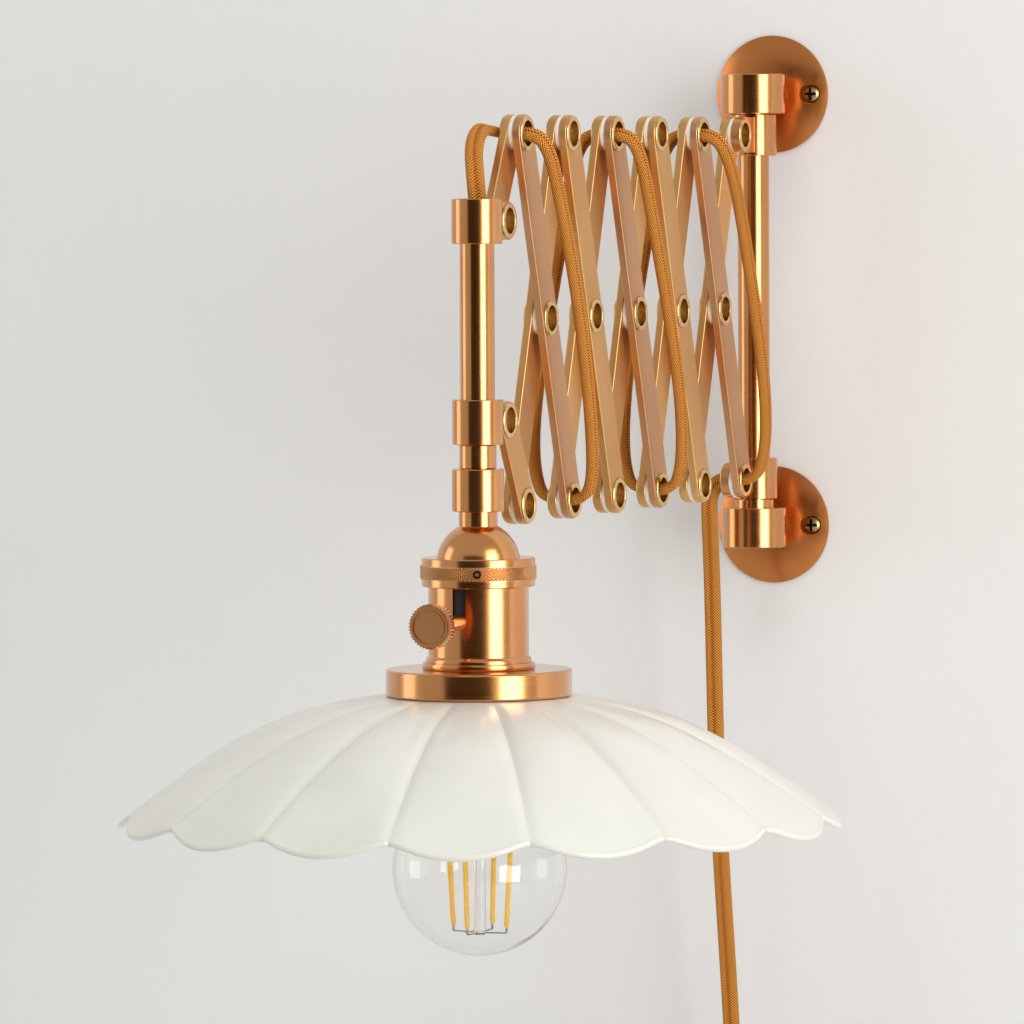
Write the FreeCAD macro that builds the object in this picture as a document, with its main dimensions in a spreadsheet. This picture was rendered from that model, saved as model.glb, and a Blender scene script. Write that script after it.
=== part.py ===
import FreeCAD, Part
import math
import os
import types
import Sketcher

# An accordion wall lamp, in millimetres and degrees.
# +Z is up, +X is to the right and the room is on the -Y side of the wall.
# The origin is on the wall, in the middle of the four wall screws.
# The arm points straight out from the wall and is folded to its shortest reach.

DIMENSIONS = {
    # small clearances and edges
    "rest_gap": 0.1,
    "seat_gap": 0.3,
    "running_clearance": 0.08,
    "fixed_clearance": 0.02,
    "edge_break": 0.35,
    # wall plates and their screws
    "plate_diameter": 50.0,
    "plate_edge": 1.2,
    "plate_height": 5.0,
    "plate_flat_diameter": 17.0,
    "screw_spacing": 36.0,
    "screw_shank_diameter": 4.0,
    "screw_neck_diameter": 3.5,
    "screw_length": 25.0,
    "screw_head_diameter": 8.0,
    "screw_head_height": 1.9,
    "screw_slot_width": 1.2,
    "screw_slot_length": 5.2,
    "screw_slot_depth": 1.3,
    # wall rod, its holders and the collars
    "rod_diameter": 13.5,
    "rod_standoff": 24.0,
    "holder_diameter": 27.4,
    "holder_height": 16.8,
    "holder_bore_depth": 13.0,
    "holder_stub_diameter": 14.0,
    "stop_ring_diameter": 16.8,
    "stop_ring_height": 3.4,
    "collar_diameter": 19.8,
    "collar_height": 17.5,
    "wall_reach": 21.8,
    "lamp_reach": 22.4,
    # bars, links, eyelets and washers
    "bar_pivot_spacing": 153.6,
    "bar_width": 14.8,
    "bar_thickness": 3.3,
    "bar_edge_radius": 0.5,
    "fold_angle": 18.3,
    "link_pivot_spacing": 38.9,
    "link_angle": 28.8,
    "layer_play": 0.05,
    "washer_thickness": 1.5,
    "washer_diameter": 14.2,
    "eyelet_bore": 10.0,
    "eyelet_barrel_diameter": 10.9,
    "eyelet_flange_diameter": 14.2,
    "eyelet_flange_thickness": 0.8,
    "eyelet_lip_radius": 0.4,
    # lamp rod, neck and swivel
    "lamp_rod_bore": 10.6,
    "neck_diameter": 14.4,
    "neck_length": 9.2,
    "neck_seat_depth": 6.0,
    "spigot_diameter": 12.0,
    "spigot_length": 14.0,
    "spigot_bore": 8.0,
    "swivel_diameter": 20.3,
    "swivel_height": 16.5,
    "lower_neck_diameter": 15.0,
    "lower_neck_height": 5.7,
    # socket
    "cap_step": 3.35,
    "cap_height": 12.1,
    "cap_wall": 1.2,
    "cap_dome_growth": 0.2,
    "ring_wall": 2.5,
    "knurl_height": 0.65,
    "ring_height": 11.2,
    "ring_band_height": 2.8,
    "ring_hole_diameter": 2.6,
    "ring_hole_turn": 21.5,
    "shell_diameter": 39.1,
    "shell_wall": 1.0,
    "shell_tuck": 9.0,
    "shell_visible_height": 26.9,
    "bead_stand": 2.15,
    "upper_bead_stand": 1.05,
    "bead_height": 5.0,
    "slot_width": 5.4,
    "slot_drop": 13.0,
    "insert_clearance": 0.3,
    "insert_headroom": 1.6,
    "insert_cavity_diameter": 27.6,
    "insert_cavity_depth": 18.0,
    "stem_diameter": 5.0,
    "stem_bite": 2.6,
    "knob_diameter": 17.4,
    "knob_thickness": 5.0,
    "knob_reach": 48.7,
    "knob_face_recess": 0.5,
    # shade
    "fitter_diameter": 72.3,
    "fitter_height": 10.5,
    "fitter_wall": 2.0,
    "fitter_hole_diameter": 31.0,
    "fitter_flange_diameter": 46.0,
    "fitter_edge_radius": 0.9,
    "shade_hole_diameter": 32.0,
    "shade_shoulder_diameter": 69.4,
    "shade_node_diameter": 270.0,
    "shade_drop": 43.2,
    "shade_curve_power": 1.6,
    "shade_scallop": 5.0,
    "shade_curl": 1.9,
    "shade_puff": 2.4,
    "shade_thickness": 1.3,
    "shade_turn": -3.0,
    "petal_count": 16,
    # bulb
    "bulb_diameter": 67.8,
    "bulb_wall": 0.8,
    "bulb_neck_diameter": 26.4,
    "bulb_neck_length": 26.0,
    "bulb_drop": 77.8,
    "bulb_shoulder_angle": 40.0,
    "bulb_cap_diameter": 26.6,
    "bulb_cap_height": 24.0,
    "bulb_cap_tip_diameter": 9.6,
    "bulb_cap_tip_height": 4.0,
    "stem_glass_diameter": 3.6,
    "filament_count": 4,
    "filament_diameter": 2.2,
    "filament_length": 37.0,
    "filament_circle_diameter": 21.0,
    "filament_wire_diameter": 0.7,
    "filament_floor": 11.5,
    # cord and plug
    "cord_diameter": 6.0,
    "cord_width": 7.2,
    "cord_thickness": 5.0,
    "coil_mid_diameter": 80.0,
    "coil_turns_across": 3,
    "coil_turns_along": 2,
    "relief_length": 20.0,
    "relief_top_diameter": 8.6,
    "relief_base_diameter": 11.4,
    "plug_length": 32.0,
    "plug_width": 25.0,
    "plug_thickness": 15.0,
    "plug_corner_radius": 3.0,
    "blade_length": 15.5,
    "blade_width": 6.3,
    "blade_thickness": 1.5,
    "blade_spacing": 12.7,
}

BAR_PAIRS = 5
RIGHT = 1
LEFT = -1
TOWARDS_ROOM = -1
TOWARDS_WALL = 1

# The rim of the shade turns down late, with this power of the way out from the shoulder.
CURL_POWER = 6

# The cord's routes are laid out by hand for bars with this pivot spacing, and grow with the bars.
ROUTE_SPACING = 153.6
# An arc of a route takes this share of the shorter run beside it, and a tube's volume is checked this closely.
ARC_SHARE = 0.45
VOLUME_TOLERANCE = 0.01

# The cord's spans lie beside the bars. A point is (out from the bars, towards the wall, down from the top
# pivot), chosen by hand. Spans 1, 3 and 5 lie on the right of right bars, 2 and 4 on the left of left bars.
SPAN_ROUTES = {
    1: [(0, 0, 0), (8.4, 0, 0), (12.3, 0.9, 7.4), (13.2, 2.2, 20), (14.4, 3.4, 44), (15.2, 4.0, 76),
        (15.0, 3.2, 108), (14.2, 1.8, 131), (12.6, 0.8, 145.6), (8.4, 0, 153.6), (0, 0, 153.6)],
    2: [(0, 0, 0), (8.4, 0, 0), (12.6, -0.4, 7.6), (13.4, -1.0, 21), (14.2, -1.8, 46), (15.6, -2.4, 79),
        (16.6, -2.6, 110), (15.8, -1.6, 132), (12.9, -0.4, 145.8), (8.4, 0, 153.6), (0, 0, 153.6)],
    3: [(0, 0, 0), (8.4, 0, 0), (12.2, 1.0, 7.5), (13.0, 2.4, 22), (14.0, 3.2, 48), (15.4, 3.6, 81),
        (16.2, 2.8, 111), (15.2, 1.4, 132), (12.8, 0.5, 145.9), (8.4, 0, 153.6), (0, 0, 153.6)],
    4: [(0, 0, 0), (8.4, 0, 0), (12.4, -0.6, 7.5), (13.6, -1.4, 20), (14.9, -2.2, 45), (16.2, -2.6, 78),
        (16.4, -2.2, 109), (15.4, -1.2, 132), (12.7, -0.4, 145.7), (8.4, 0, 153.6), (0, 0, 153.6)],
    5: [(0, 0, 0), (8.4, 0, 0), (12.9, 0.6, 7.2), (15.0, 1.6, 20), (16.2, 2.2, 45), (17.0, 2.6, 77),
        (17.3, 2.4, 108), (16.0, 1.2, 131), (12.9, 0.4, 145.4), (8.4, 0, 153.6), (0, 0, 153.6)],
}

# The supply comes up to the lowest wall pivot. Points are (right, towards the wall, up) from that pivot.
SUPPLY_ROUTE = [(0, 0, 0), (-8.0, 0, 0), (-12.2, -0.4, -6.6), (-11.8, -0.2, -20), (-11.0, 0.4, -46),
                (-10.6, 1.4, -84), (-10.3, 2.9, -124), (-9.8, 6.4, -161), (-9.0, 11.0, -200),
                (-8.1, 14.9, -239), (-7.4, 17.0, -277)]

# The lamp's end of the cord runs from the outermost top pivot over into the lamp rod.
# Points are (right, towards the wall, up) from that pivot.
LAMP_CORD_ROUTE = [(0, 0, 0), (-7.4, 0, 0), (-10.6, -6.8, 1.8), (-9.0, -15.4, 1.4), (-7.4, -24.2, -1.8),
                   (-5.0, -32.2, -7.6), (-2.2, -37.4, -15.8), (-0.5, -39.3, -25.0), (0, -39.1, -33.4)]

doc = FreeCAD.newDocument("AccordionWallLamp")


class Size:
    """A size with its value and the expression that gives it from the sheet."""

    def __init__(self, value, text):
        self.value = value
        self.text = text

    def __add__(self, other):
        other = as_size(other)
        return Size(self.value + other.value, f"({self.text} + {other.text})")

    def __sub__(self, other):
        other = as_size(other)
        return Size(self.value - other.value, f"({self.text} - {other.text})")

    def __mul__(self, other):
        other = as_size(other)
        return Size(self.value * other.value, f"({self.text} * {other.text})")

    def __truediv__(self, other):
        other = as_size(other)
        return Size(self.value / other.value, f"({self.text} / {other.text})")

    def __neg__(self):
        return Size(-self.value, f"(0 - {self.text})")


def as_size(number):
    if isinstance(number, Size):
        return number
    return Size(float(number), f"({float(number)})")


def sine(angle):
    return Size(math.sin(math.radians(angle.value)), f"sin({angle.text} * 1 deg)")


def cosine(angle):
    return Size(math.cos(math.radians(angle.value)), f"cos({angle.text} * 1 deg)")


def write_sheet():
    """Puts every driving dimension in the sheet and gives it back as a Size."""
    sheet = doc.addObject("Spreadsheet::Sheet", "Dimensions")
    sizes = {}
    for row, (name, number) in enumerate(DIMENSIONS.items(), start=1):
        sheet.set(f"A{row}", name)
        sheet.set(f"B{row}", str(number))
        sheet.setAlias(f"B{row}", name)
        sizes[name] = Size(float(number), f"Dimensions.{name}")
    doc.recompute()
    return types.SimpleNamespace(**sizes)


d = write_sheet()


# ---------------------------------------------------------------- places worked out from the dimensions

bar_pitch = d.bar_pivot_spacing * sine(d.fold_angle)
row_spacing = d.bar_pivot_spacing * cosine(d.fold_angle)
link_out = d.link_pivot_spacing * sine(d.link_angle)
link_down = d.link_pivot_spacing * cosine(d.link_angle)
layer_offset = (d.washer_thickness + d.bar_thickness) / 2 + d.layer_play
eyelet_seat = layer_offset + d.bar_thickness / 2 + d.layer_play
pivot_hole_radius = d.eyelet_barrel_diameter / 2 + d.running_clearance

plate_spacing = row_spacing + d.collar_height + d.holder_height + d.stop_ring_height + d.seat_gap * 2
upper_plate_z = plate_spacing / 2
lower_plate_z = -upper_plate_z
top_row_z = upper_plate_z - (d.holder_height + d.collar_height) / 2 - d.seat_gap
bottom_row_z = top_row_z - row_spacing
rod_y = -d.rod_standoff
wall_pivot_y = rod_y - d.wall_reach

link_pivot_y = wall_pivot_y - bar_pitch * BAR_PAIRS - link_out
lamp_y = link_pivot_y - d.lamp_reach
upper_link_z = top_row_z - link_down
lower_link_z = bottom_row_z + link_down
lamp_rod_top_z = upper_link_z + d.collar_height / 2

neck_top_z = lower_link_z - d.collar_height / 2 - d.rest_gap
neck_bottom_z = neck_top_z - d.neck_length
swivel_top_z = neck_bottom_z - d.rest_gap
cap_top_z = swivel_top_z - d.swivel_height - d.lower_neck_height
ring_top_z = cap_top_z - d.cap_height
shell_foot_z = ring_top_z - d.ring_height - d.shell_visible_height - d.bead_height
fitter_top_z = shell_foot_z - d.rest_gap
shade_top_z = fitter_top_z - d.fitter_height - d.rest_gap
bulb_centre_z = fitter_top_z - d.bulb_drop


def top_pivot(index):
    """Pivot number 1 is at the lamp and number 6 at the wall."""
    return FreeCAD.Vector(0, wall_pivot_y.value - bar_pitch.value * (BAR_PAIRS + 1 - index), top_row_z.value)


def bottom_pivot(index):
    point = top_pivot(index)
    point.z = bottom_row_z.value
    return point


def middle(first, second):
    return (first + second) * 0.5


upper_link_pivot = FreeCAD.Vector(0, link_pivot_y.value, upper_link_z.value)
lower_link_pivot = FreeCAD.Vector(0, link_pivot_y.value, lower_link_z.value)


# ---------------------------------------------------------------- ways of making a piece

def vector(x, y, z):
    return FreeCAD.Vector(as_size(x).value, as_size(y).value, as_size(z).value)


def turned_about(axis, degrees, base):
    return FreeCAD.Placement(base, FreeCAD.Rotation(axis, degrees))


X_AXIS = FreeCAD.Vector(1, 0, 0)
Y_AXIS = FreeCAD.Vector(0, 1, 0)
Z_AXIS = FreeCAD.Vector(0, 0, 1)


def origin_plane(body, role):
    for feature in body.Origin.OriginFeatures:
        if feature.Role == role:
            return feature


def new_sketch(body, role, name, lift=None):
    """A sketch on one of the body's own planes, lifted off it where a lift is given."""
    sketch = body.newObject("Sketcher::SketchObject", name)
    sketch.AttachmentSupport = (origin_plane(body, role), [""])
    sketch.MapMode = "FlatFace"
    if lift is not None:
        sketch.setExpression("AttachmentOffset.Base.z", lift.text)
    return sketch


def hold_point(sketch, geometry, corner, across, up):
    """Ties a point of the sketch to its place, measured from the sketch's origin."""
    for kind, size, axis in (("DistanceX", as_size(across), -2), ("DistanceY", as_size(up), -1)):
        if size.text == "(0.0)":
            sketch.addConstraint(Sketcher.Constraint("PointOnObject", geometry, corner, axis))
            continue
        index = sketch.addConstraint(Sketcher.Constraint(kind, -1, 1, geometry, corner, size.value))
        sketch.setExpression(f"Constraints[{index}]", size.text)


def hold_radius(sketch, geometry, radius):
    index = sketch.addConstraint(Sketcher.Constraint("Radius", geometry, radius.value))
    sketch.setExpression(f"Constraints[{index}]", radius.text)


def arc_between(start, end, radius, left):
    """The short arc from start to end; it turns left, or right where left is false."""
    chord = end - start
    across = FreeCAD.Vector(-chord.y, chord.x, 0).normalize()
    rise = math.sqrt(max(radius ** 2 - (chord.Length / 2) ** 2, 0))
    centre = (start + end) * 0.5 + across * (rise if left else -rise)
    first, last = (start, end) if left else (end, start)
    begin = math.atan2(first.y - centre.y, first.x - centre.x)
    finish = math.atan2(last.y - centre.y, last.x - centre.x)
    if finish < begin:
        finish += 2 * math.pi
    return Part.ArcOfCircle(Part.Circle(centre, Z_AXIS, radius), begin, finish)


def draw_outline(sketch, corners):
    """A closed outline. A corner is (across, up), or (across, up, radius) where an arc leads to it,
    which turns left for a plus radius and right for a minus one."""
    places = [vector(corner[0], corner[1], 0) for corner in corners]
    ends = []
    for number, corner in enumerate(corners):
        start, end = places[number - 1], places[number]
        if len(corner) == 2:
            geometry = sketch.addGeometry(Part.LineSegment(start, end))
            ends.append((geometry, 1, 2))
            continue
        left = corner[2].value > 0
        geometry = sketch.addGeometry(arc_between(start, end, abs(corner[2].value), left))
        ends.append((geometry, 1, 2) if left else (geometry, 2, 1))
    for number, (geometry, first, last) in enumerate(ends):
        following, following_first, _ = ends[(number + 1) % len(ends)]
        sketch.addConstraint(Sketcher.Constraint("Coincident", geometry, last, following, following_first))
        hold_point(sketch, geometry, last, corners[number][0], corners[number][1])
        if len(corners[number]) == 3:
            radius = corners[number][2]
            hold_radius(sketch, geometry, radius if radius.value > 0 else -radius)


def draw_circle(sketch, across, up, radius):
    circle = sketch.addGeometry(Part.Circle(vector(across, up, 0), Z_AXIS, radius.value))
    hold_point(sketch, circle, 3, across, up)
    hold_radius(sketch, circle, radius)


def draw_stadium(sketch, first, last, radius):
    """A slot shape round two centres that lie one above the other, or side by side."""
    start, end = vector(*first, 0), vector(*last, 0)
    along = (end - start).normalize()
    side = FreeCAD.Vector(-along.y, along.x, 0) * radius.value
    lean = math.atan2(along.y, along.x)
    quarter = math.pi / 2
    near = sketch.addGeometry(Part.ArcOfCircle(
        Part.Circle(start, Z_AXIS, radius.value), lean + quarter, lean + 3 * quarter))
    far = sketch.addGeometry(Part.ArcOfCircle(
        Part.Circle(end, Z_AXIS, radius.value), lean - quarter, lean + quarter))
    left = sketch.addGeometry(Part.LineSegment(end + side, start + side))
    right = sketch.addGeometry(Part.LineSegment(start - side, end - side))
    for arc, arc_end, line, line_end in ((near, 1, left, 2), (near, 2, right, 1),
                                         (far, 1, right, 2), (far, 2, left, 1)):
        sketch.addConstraint(Sketcher.Constraint("Tangent", arc, arc_end, line, line_end))
    hold_point(sketch, near, 3, *first)
    hold_point(sketch, far, 3, *last)
    hold_radius(sketch, near, radius)
    hold_radius(sketch, far, radius)


def new_body(label):
    body = doc.addObject("PartDesign::Body", label)
    body.Label = label
    return body


def turn(body, corners, name="Turning"):
    """Turns an outline of (radius, height) corners about the body's upright axis."""
    sketch = new_sketch(body, "XZ_Plane", name + "Outline")
    draw_outline(sketch, corners)
    turning = body.newObject("PartDesign::Revolution", name)
    turning.Profile = (sketch, [""])
    turning.ReferenceAxis = (sketch, ["V_Axis"])
    turning.Angle = 360
    body.Tip = turning
    return turning


def pad(body, sketch, thickness, name):
    """Thickens a sketch by the same amount on both of its sides."""
    feature = body.newObject("PartDesign::Pad", name)
    feature.Profile = (sketch, [""])
    feature.setExpression("Length", thickness.text)
    feature.Midplane = True
    body.Tip = feature
    return feature


def cut_through(body, sketch, name):
    """Cuts a sketch right through the body, both ways, and makes sure that something went."""
    doc.recompute()
    before = body.Shape.Volume
    feature = body.newObject("PartDesign::Pocket", name)
    feature.Profile = (sketch, [""])
    feature.Type = "ThroughAll"
    feature.Midplane = True
    body.Tip = feature
    doc.recompute()
    if body.Shape.Volume >= before:
        raise ValueError(f"{body.Label}: {name} cut nothing")
    return feature


def barrel(radius, height, inner):
    """The outline of a tube or ring with broken outer edges, from height 0 up."""
    broken = d.edge_break
    return [(inner, 0), (radius - broken, 0), (radius, broken), (radius, height - broken),
            (radius - broken, height), (inner, height)]


def group(label, shapes):
    """Several like pieces that share one name."""
    feature = doc.addObject("Part::Feature", label)
    feature.Label = label
    feature.Shape = Part.makeCompound(shapes)
    return feature


def placed(master, placement):
    shape = master.Shape.copy()
    shape.Placement = placement
    return shape


# ---------------------------------------------------------------- wall side

def make_wall_plate(label, height):
    """A domed round plate. It is turned upright and laid against the wall, its dome to the room."""
    body = new_body(label)
    rim = d.plate_diameter / 2
    flat = d.plate_flat_diameter / 2
    rise = d.plate_height - d.plate_edge
    run = rim - flat
    dome = (run * run + rise * rise) / (rise * 2)
    turn(body, [(0, 0), (rim, 0), (rim, d.plate_edge), (flat, d.plate_height, dome), (0, d.plate_height)])
    holes = new_sketch(body, "XY_Plane", "ScrewHoles")
    for side in (LEFT, RIGHT):
        draw_circle(holes, d.screw_spacing / 2 * side, 0, d.screw_shank_diameter / 2 + d.running_clearance)
    cut_through(body, holes, "ScrewHolePocket")
    seats = new_sketch(body, "XY_Plane", "ScrewSeats", screw_seat_height)
    for side in (LEFT, RIGHT):
        draw_circle(seats, d.screw_spacing / 2 * side, 0, d.screw_head_diameter / 2 + d.seat_gap)
    pocket = body.newObject("PartDesign::Pocket", "ScrewSeatPocket")
    pocket.Profile = (seats, [""])
    pocket.Type = "ThroughAll"
    pocket.Reversed = True
    body.Tip = pocket
    body.Placement = turned_about(X_AXIS, 90, vector(0, 0, height))
    return body


screw_seat_height = d.plate_edge + d.seat_gap


def make_screw_master():
    """A wall screw with a domed head and a cross in it, standing head up. Its plain neck, thinner than the
    thread, goes through the plate."""
    body = new_body("screw_master")
    shank = d.screw_shank_diameter / 2
    head = d.screw_head_diameter / 2
    neck = d.screw_neck_diameter / 2
    neck_foot = -(screw_seat_height + d.seat_gap)
    crown = (head * head + d.screw_head_height * d.screw_head_height) / (d.screw_head_height * 2)
    turn(body, [(0, -d.screw_length), (shank, -d.screw_length + shank), (shank, neck_foot),
                (neck, neck_foot), (neck, 0), (head, 0), (0, d.screw_head_height, crown)])
    for role, name in (("XZ_Plane", "CrossWide"), ("YZ_Plane", "CrossDeep")):
        sketch = new_sketch(body, role, name)
        half = d.screw_slot_length / 2
        floor = d.screw_head_height - d.screw_slot_depth
        draw_outline(sketch, [(-half, floor), (half, floor), (half, d.screw_head_height * 2),
                              (-half, d.screw_head_height * 2)])
        pocket = body.newObject("PartDesign::Pocket", name + "Pocket")
        pocket.Profile = (sketch, [""])
        pocket.setExpression("Length", d.screw_slot_width.text)
        pocket.Midplane = True
        body.Tip = pocket
    doc.recompute()
    return body


def make_wall_screws(master):
    shapes = []
    for height in (upper_plate_z, lower_plate_z):
        for side in (LEFT, RIGHT):
            place = vector(d.screw_spacing / 2 * side, -screw_seat_height, height)
            shapes.append(placed(master, turned_about(X_AXIS, 90, place)))
    return group("wall_screws", shapes)


def make_rod_holder(label, height, opening):
    """A puck with a blind bore that opens up or down, and a stub back to its plate.
    The lower one also has the ring that the sliding collar rests above."""
    body = new_body(label)
    half = d.holder_height / 2
    radius = d.holder_diameter / 2
    broken = d.edge_break
    corners = [(0, -half), (radius - broken, -half), (radius, -half + broken), (radius, half - broken),
               (radius - broken, half)]
    if opening > 0:
        ring = d.stop_ring_diameter / 2
        corners += [(ring, half), (ring, half + d.stop_ring_height), (0, half + d.stop_ring_height)]
    else:
        corners += [(0, half)]
    turn(body, corners)
    stub = new_sketch(body, "XZ_Plane", "StubCircle")
    draw_circle(stub, 0, 0, d.holder_stub_diameter / 2)
    reach = body.newObject("PartDesign::Pad", "Stub")
    reach.Profile = (stub, [""])
    reach.setExpression("Length", (d.rod_standoff - d.plate_height).text)
    reach.Reversed = True
    body.Tip = reach
    doc.recompute()
    mouth = half + d.stop_ring_height if opening > 0 else half
    floor = mouth - d.holder_bore_depth - (d.stop_ring_height if opening > 0 else 0)
    bore = new_sketch(body, "XY_Plane", "BoreCircle", floor * opening)
    draw_circle(bore, 0, 0, d.rod_diameter / 2 + d.running_clearance)
    pocket = body.newObject("PartDesign::Pocket", "Bore")
    pocket.Profile = (bore, [""])
    pocket.Type = "ThroughAll"
    pocket.Reversed = opening > 0
    body.Tip = pocket
    body.Placement = turned_about(Z_AXIS, 0, vector(0, rod_y, height))
    return body


def make_wall_rod():
    body = new_body("wall_rod")
    inset = d.holder_height / 2 - d.holder_bore_depth + d.rest_gap
    half = upper_plate_z + inset
    broken = d.edge_break
    radius = d.rod_diameter / 2
    turn(body, [(0, -half), (radius - broken, -half), (radius, -half + broken), (radius, half - broken),
                (radius - broken, half), (0, half)])
    body.Placement = turned_about(Z_AXIS, 0, vector(0, rod_y, 0))
    return body


def make_collar(label, y, z, layer, towards, reach, clearance):
    """A collar round a rod, with a lug in one of the two layers that reaches to its pivot."""
    body = new_body(label)
    half = d.collar_height / 2
    radius = d.collar_diameter / 2
    broken = d.edge_break
    turn(body, [(0, -half), (radius - broken, -half), (radius, -half + broken), (radius, half - broken),
                (radius - broken, half), (0, half)])
    lug = new_sketch(body, "YZ_Plane", "LugOutline", layer_offset * layer)
    draw_stadium(lug, (0, 0), (reach * towards, 0), d.bar_width / 2)
    pad(body, lug, d.bar_thickness, "Lug")
    bore = new_sketch(body, "XY_Plane", "BoreCircle")
    draw_circle(bore, 0, 0, d.rod_diameter / 2 + clearance)
    cut_through(body, bore, "Bore")
    hole = new_sketch(body, "YZ_Plane", "PivotCircle")
    draw_circle(hole, reach * towards, 0, pivot_hole_radius)
    cut_through(body, hole, "PivotHole")
    body.Placement = turned_about(Z_AXIS, 0, vector(0, y, z))
    return body


# ---------------------------------------------------------------- bars and pivots

def make_bar(label, spacing, holes, top, bottom, layer):
    """A flat bar with round ends from its top pivot to its bottom pivot."""
    body = new_body(label)
    half = spacing / 2
    outline = new_sketch(body, "YZ_Plane", "BarOutline")
    draw_stadium(outline, (0, -half), (0, half), d.bar_width / 2)
    plate = pad(body, outline, d.bar_thickness, "Plate")
    doc.recompute()
    side = d.bar_thickness.value / 2
    rims = [f"Edge{number}" for number, edge in enumerate(plate.Shape.Edges, start=1)
            if all(abs(abs(vertex.X) - side) < 1e-6 for vertex in edge.Vertexes)
            and abs(edge.CenterOfMass.x) > side / 2]
    rounding = body.newObject("PartDesign::Fillet", "SoftEdges")
    rounding.Base = (plate, rims)
    rounding.setExpression("Radius", d.bar_edge_radius.text)
    body.Tip = rounding
    pivots = new_sketch(body, "YZ_Plane", "PivotCircles")
    for place in holes:
        draw_circle(pivots, 0, half * place, pivot_hole_radius)
    cut_through(body, pivots, "PivotHoles")
    lean = math.degrees(math.atan2(bottom.y - top.y, top.z - bottom.z))
    centre = middle(top, bottom) + X_AXIS * (layer_offset.value * layer)
    body.Placement = turned_about(X_AXIS, lean, centre)
    return body


def make_eyelet_master():
    """A hollow rivet with a rolled flange at each end, standing upright."""
    body = new_body("eyelet_master")
    seat = eyelet_seat
    top = seat + d.eyelet_flange_thickness
    lip = d.eyelet_lip_radius
    roll = d.eyelet_flange_thickness
    bore = d.eyelet_bore / 2
    shank = d.eyelet_barrel_diameter / 2
    flange = d.eyelet_flange_diameter / 2
    turn(body, [(bore, -top + lip), (bore + lip, -top, lip), (flange - roll, -top), (flange, -seat, roll),
                (shank, -seat), (shank, seat), (flange, seat), (flange - roll, top, roll),
                (bore + lip, top), (bore, top - lip, lip)])
    doc.recompute()
    return body


def make_washer_master():
    """A thin plastic ring that keeps the two layers of bars apart, standing upright."""
    body = new_body("washer_master")
    half = d.washer_thickness / 2
    outer = d.washer_diameter / 2
    turn(body, [(pivot_hole_radius, -half), (outer, -half), (outer, half), (pivot_hole_radius, half)])
    doc.recompute()
    return body


def pivot_group(label, master, pivots):
    return group(label, [placed(master, turned_about(Y_AXIS, 90, pivot)) for pivot in pivots])


# ---------------------------------------------------------------- lamp side

def make_lamp_rod():
    """The tube that the cord goes down. It stands in the neck at its lower end."""
    body = new_body("lamp_rod")
    length = lamp_rod_top_z - neck_top_z + d.neck_seat_depth
    turn(body, barrel(d.rod_diameter / 2, length, d.lamp_rod_bore / 2))
    body.Placement = turned_about(Z_AXIS, 0, vector(0, lamp_y, lamp_rod_top_z - length))
    return body


def make_neck():
    """The neck holds the lamp rod in its top, and its spigot carries the swivel."""
    body = new_body("neck_tube")
    outer = d.neck_diameter / 2
    seat = d.rod_diameter / 2 + d.fixed_clearance
    spigot = d.spigot_diameter / 2
    bore = d.spigot_bore / 2
    broken = d.edge_break
    length = d.neck_length
    turn(body, [(bore, -length - d.spigot_length), (spigot, -length - d.spigot_length), (spigot, -length),
                (outer - broken, -length), (outer, -length + broken), (outer, -broken), (outer - broken, 0),
                (seat, 0), (seat, -d.neck_seat_depth - d.rest_gap), (bore, -d.neck_seat_depth - d.rest_gap)])
    body.Placement = turned_about(Z_AXIS, 0, vector(0, lamp_y, neck_top_z))
    return body


def make_swivel_collar():
    """The collar that turns on the neck's spigot, with the short lower neck below it."""
    body = new_body("swivel_collar")
    outer = d.swivel_diameter / 2
    lower = d.lower_neck_diameter / 2
    socket = d.spigot_diameter / 2 + d.running_clearance
    bore = d.spigot_bore / 2
    broken = d.edge_break
    height = d.swivel_height
    bottom = height + d.lower_neck_height
    depth = d.spigot_length - d.rest_gap + d.seat_gap
    turn(body, [(bore, -bottom), (lower, -bottom), (lower, -height), (outer - broken, -height),
                (outer, -height + broken), (outer, -broken), (outer - broken, 0), (socket, 0),
                (socket, -depth), (bore, -depth)])
    body.Placement = turned_about(Z_AXIS, 0, vector(0, lamp_y, swivel_top_z))
    return body


cap_radius = d.shell_diameter / 2 - d.cap_step


def make_socket_cap():
    """A domed shell that closes the top of the socket."""
    body = new_body("socket_cap")
    outer = cap_radius
    dome = cap_radius + d.cap_dome_growth
    neck = d.lower_neck_diameter / 2
    wall = d.cap_wall
    height = d.cap_height
    bore = d.spigot_bore / 2
    turn(body, [(outer, -height), (neck, 0, dome), (bore, 0), (bore, -wall), (neck - wall, -wall),
                (outer - wall, -height, -(dome - wall))])
    body.Placement = turned_about(Z_AXIS, 0, vector(0, lamp_y, cap_top_z))
    return body


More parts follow.
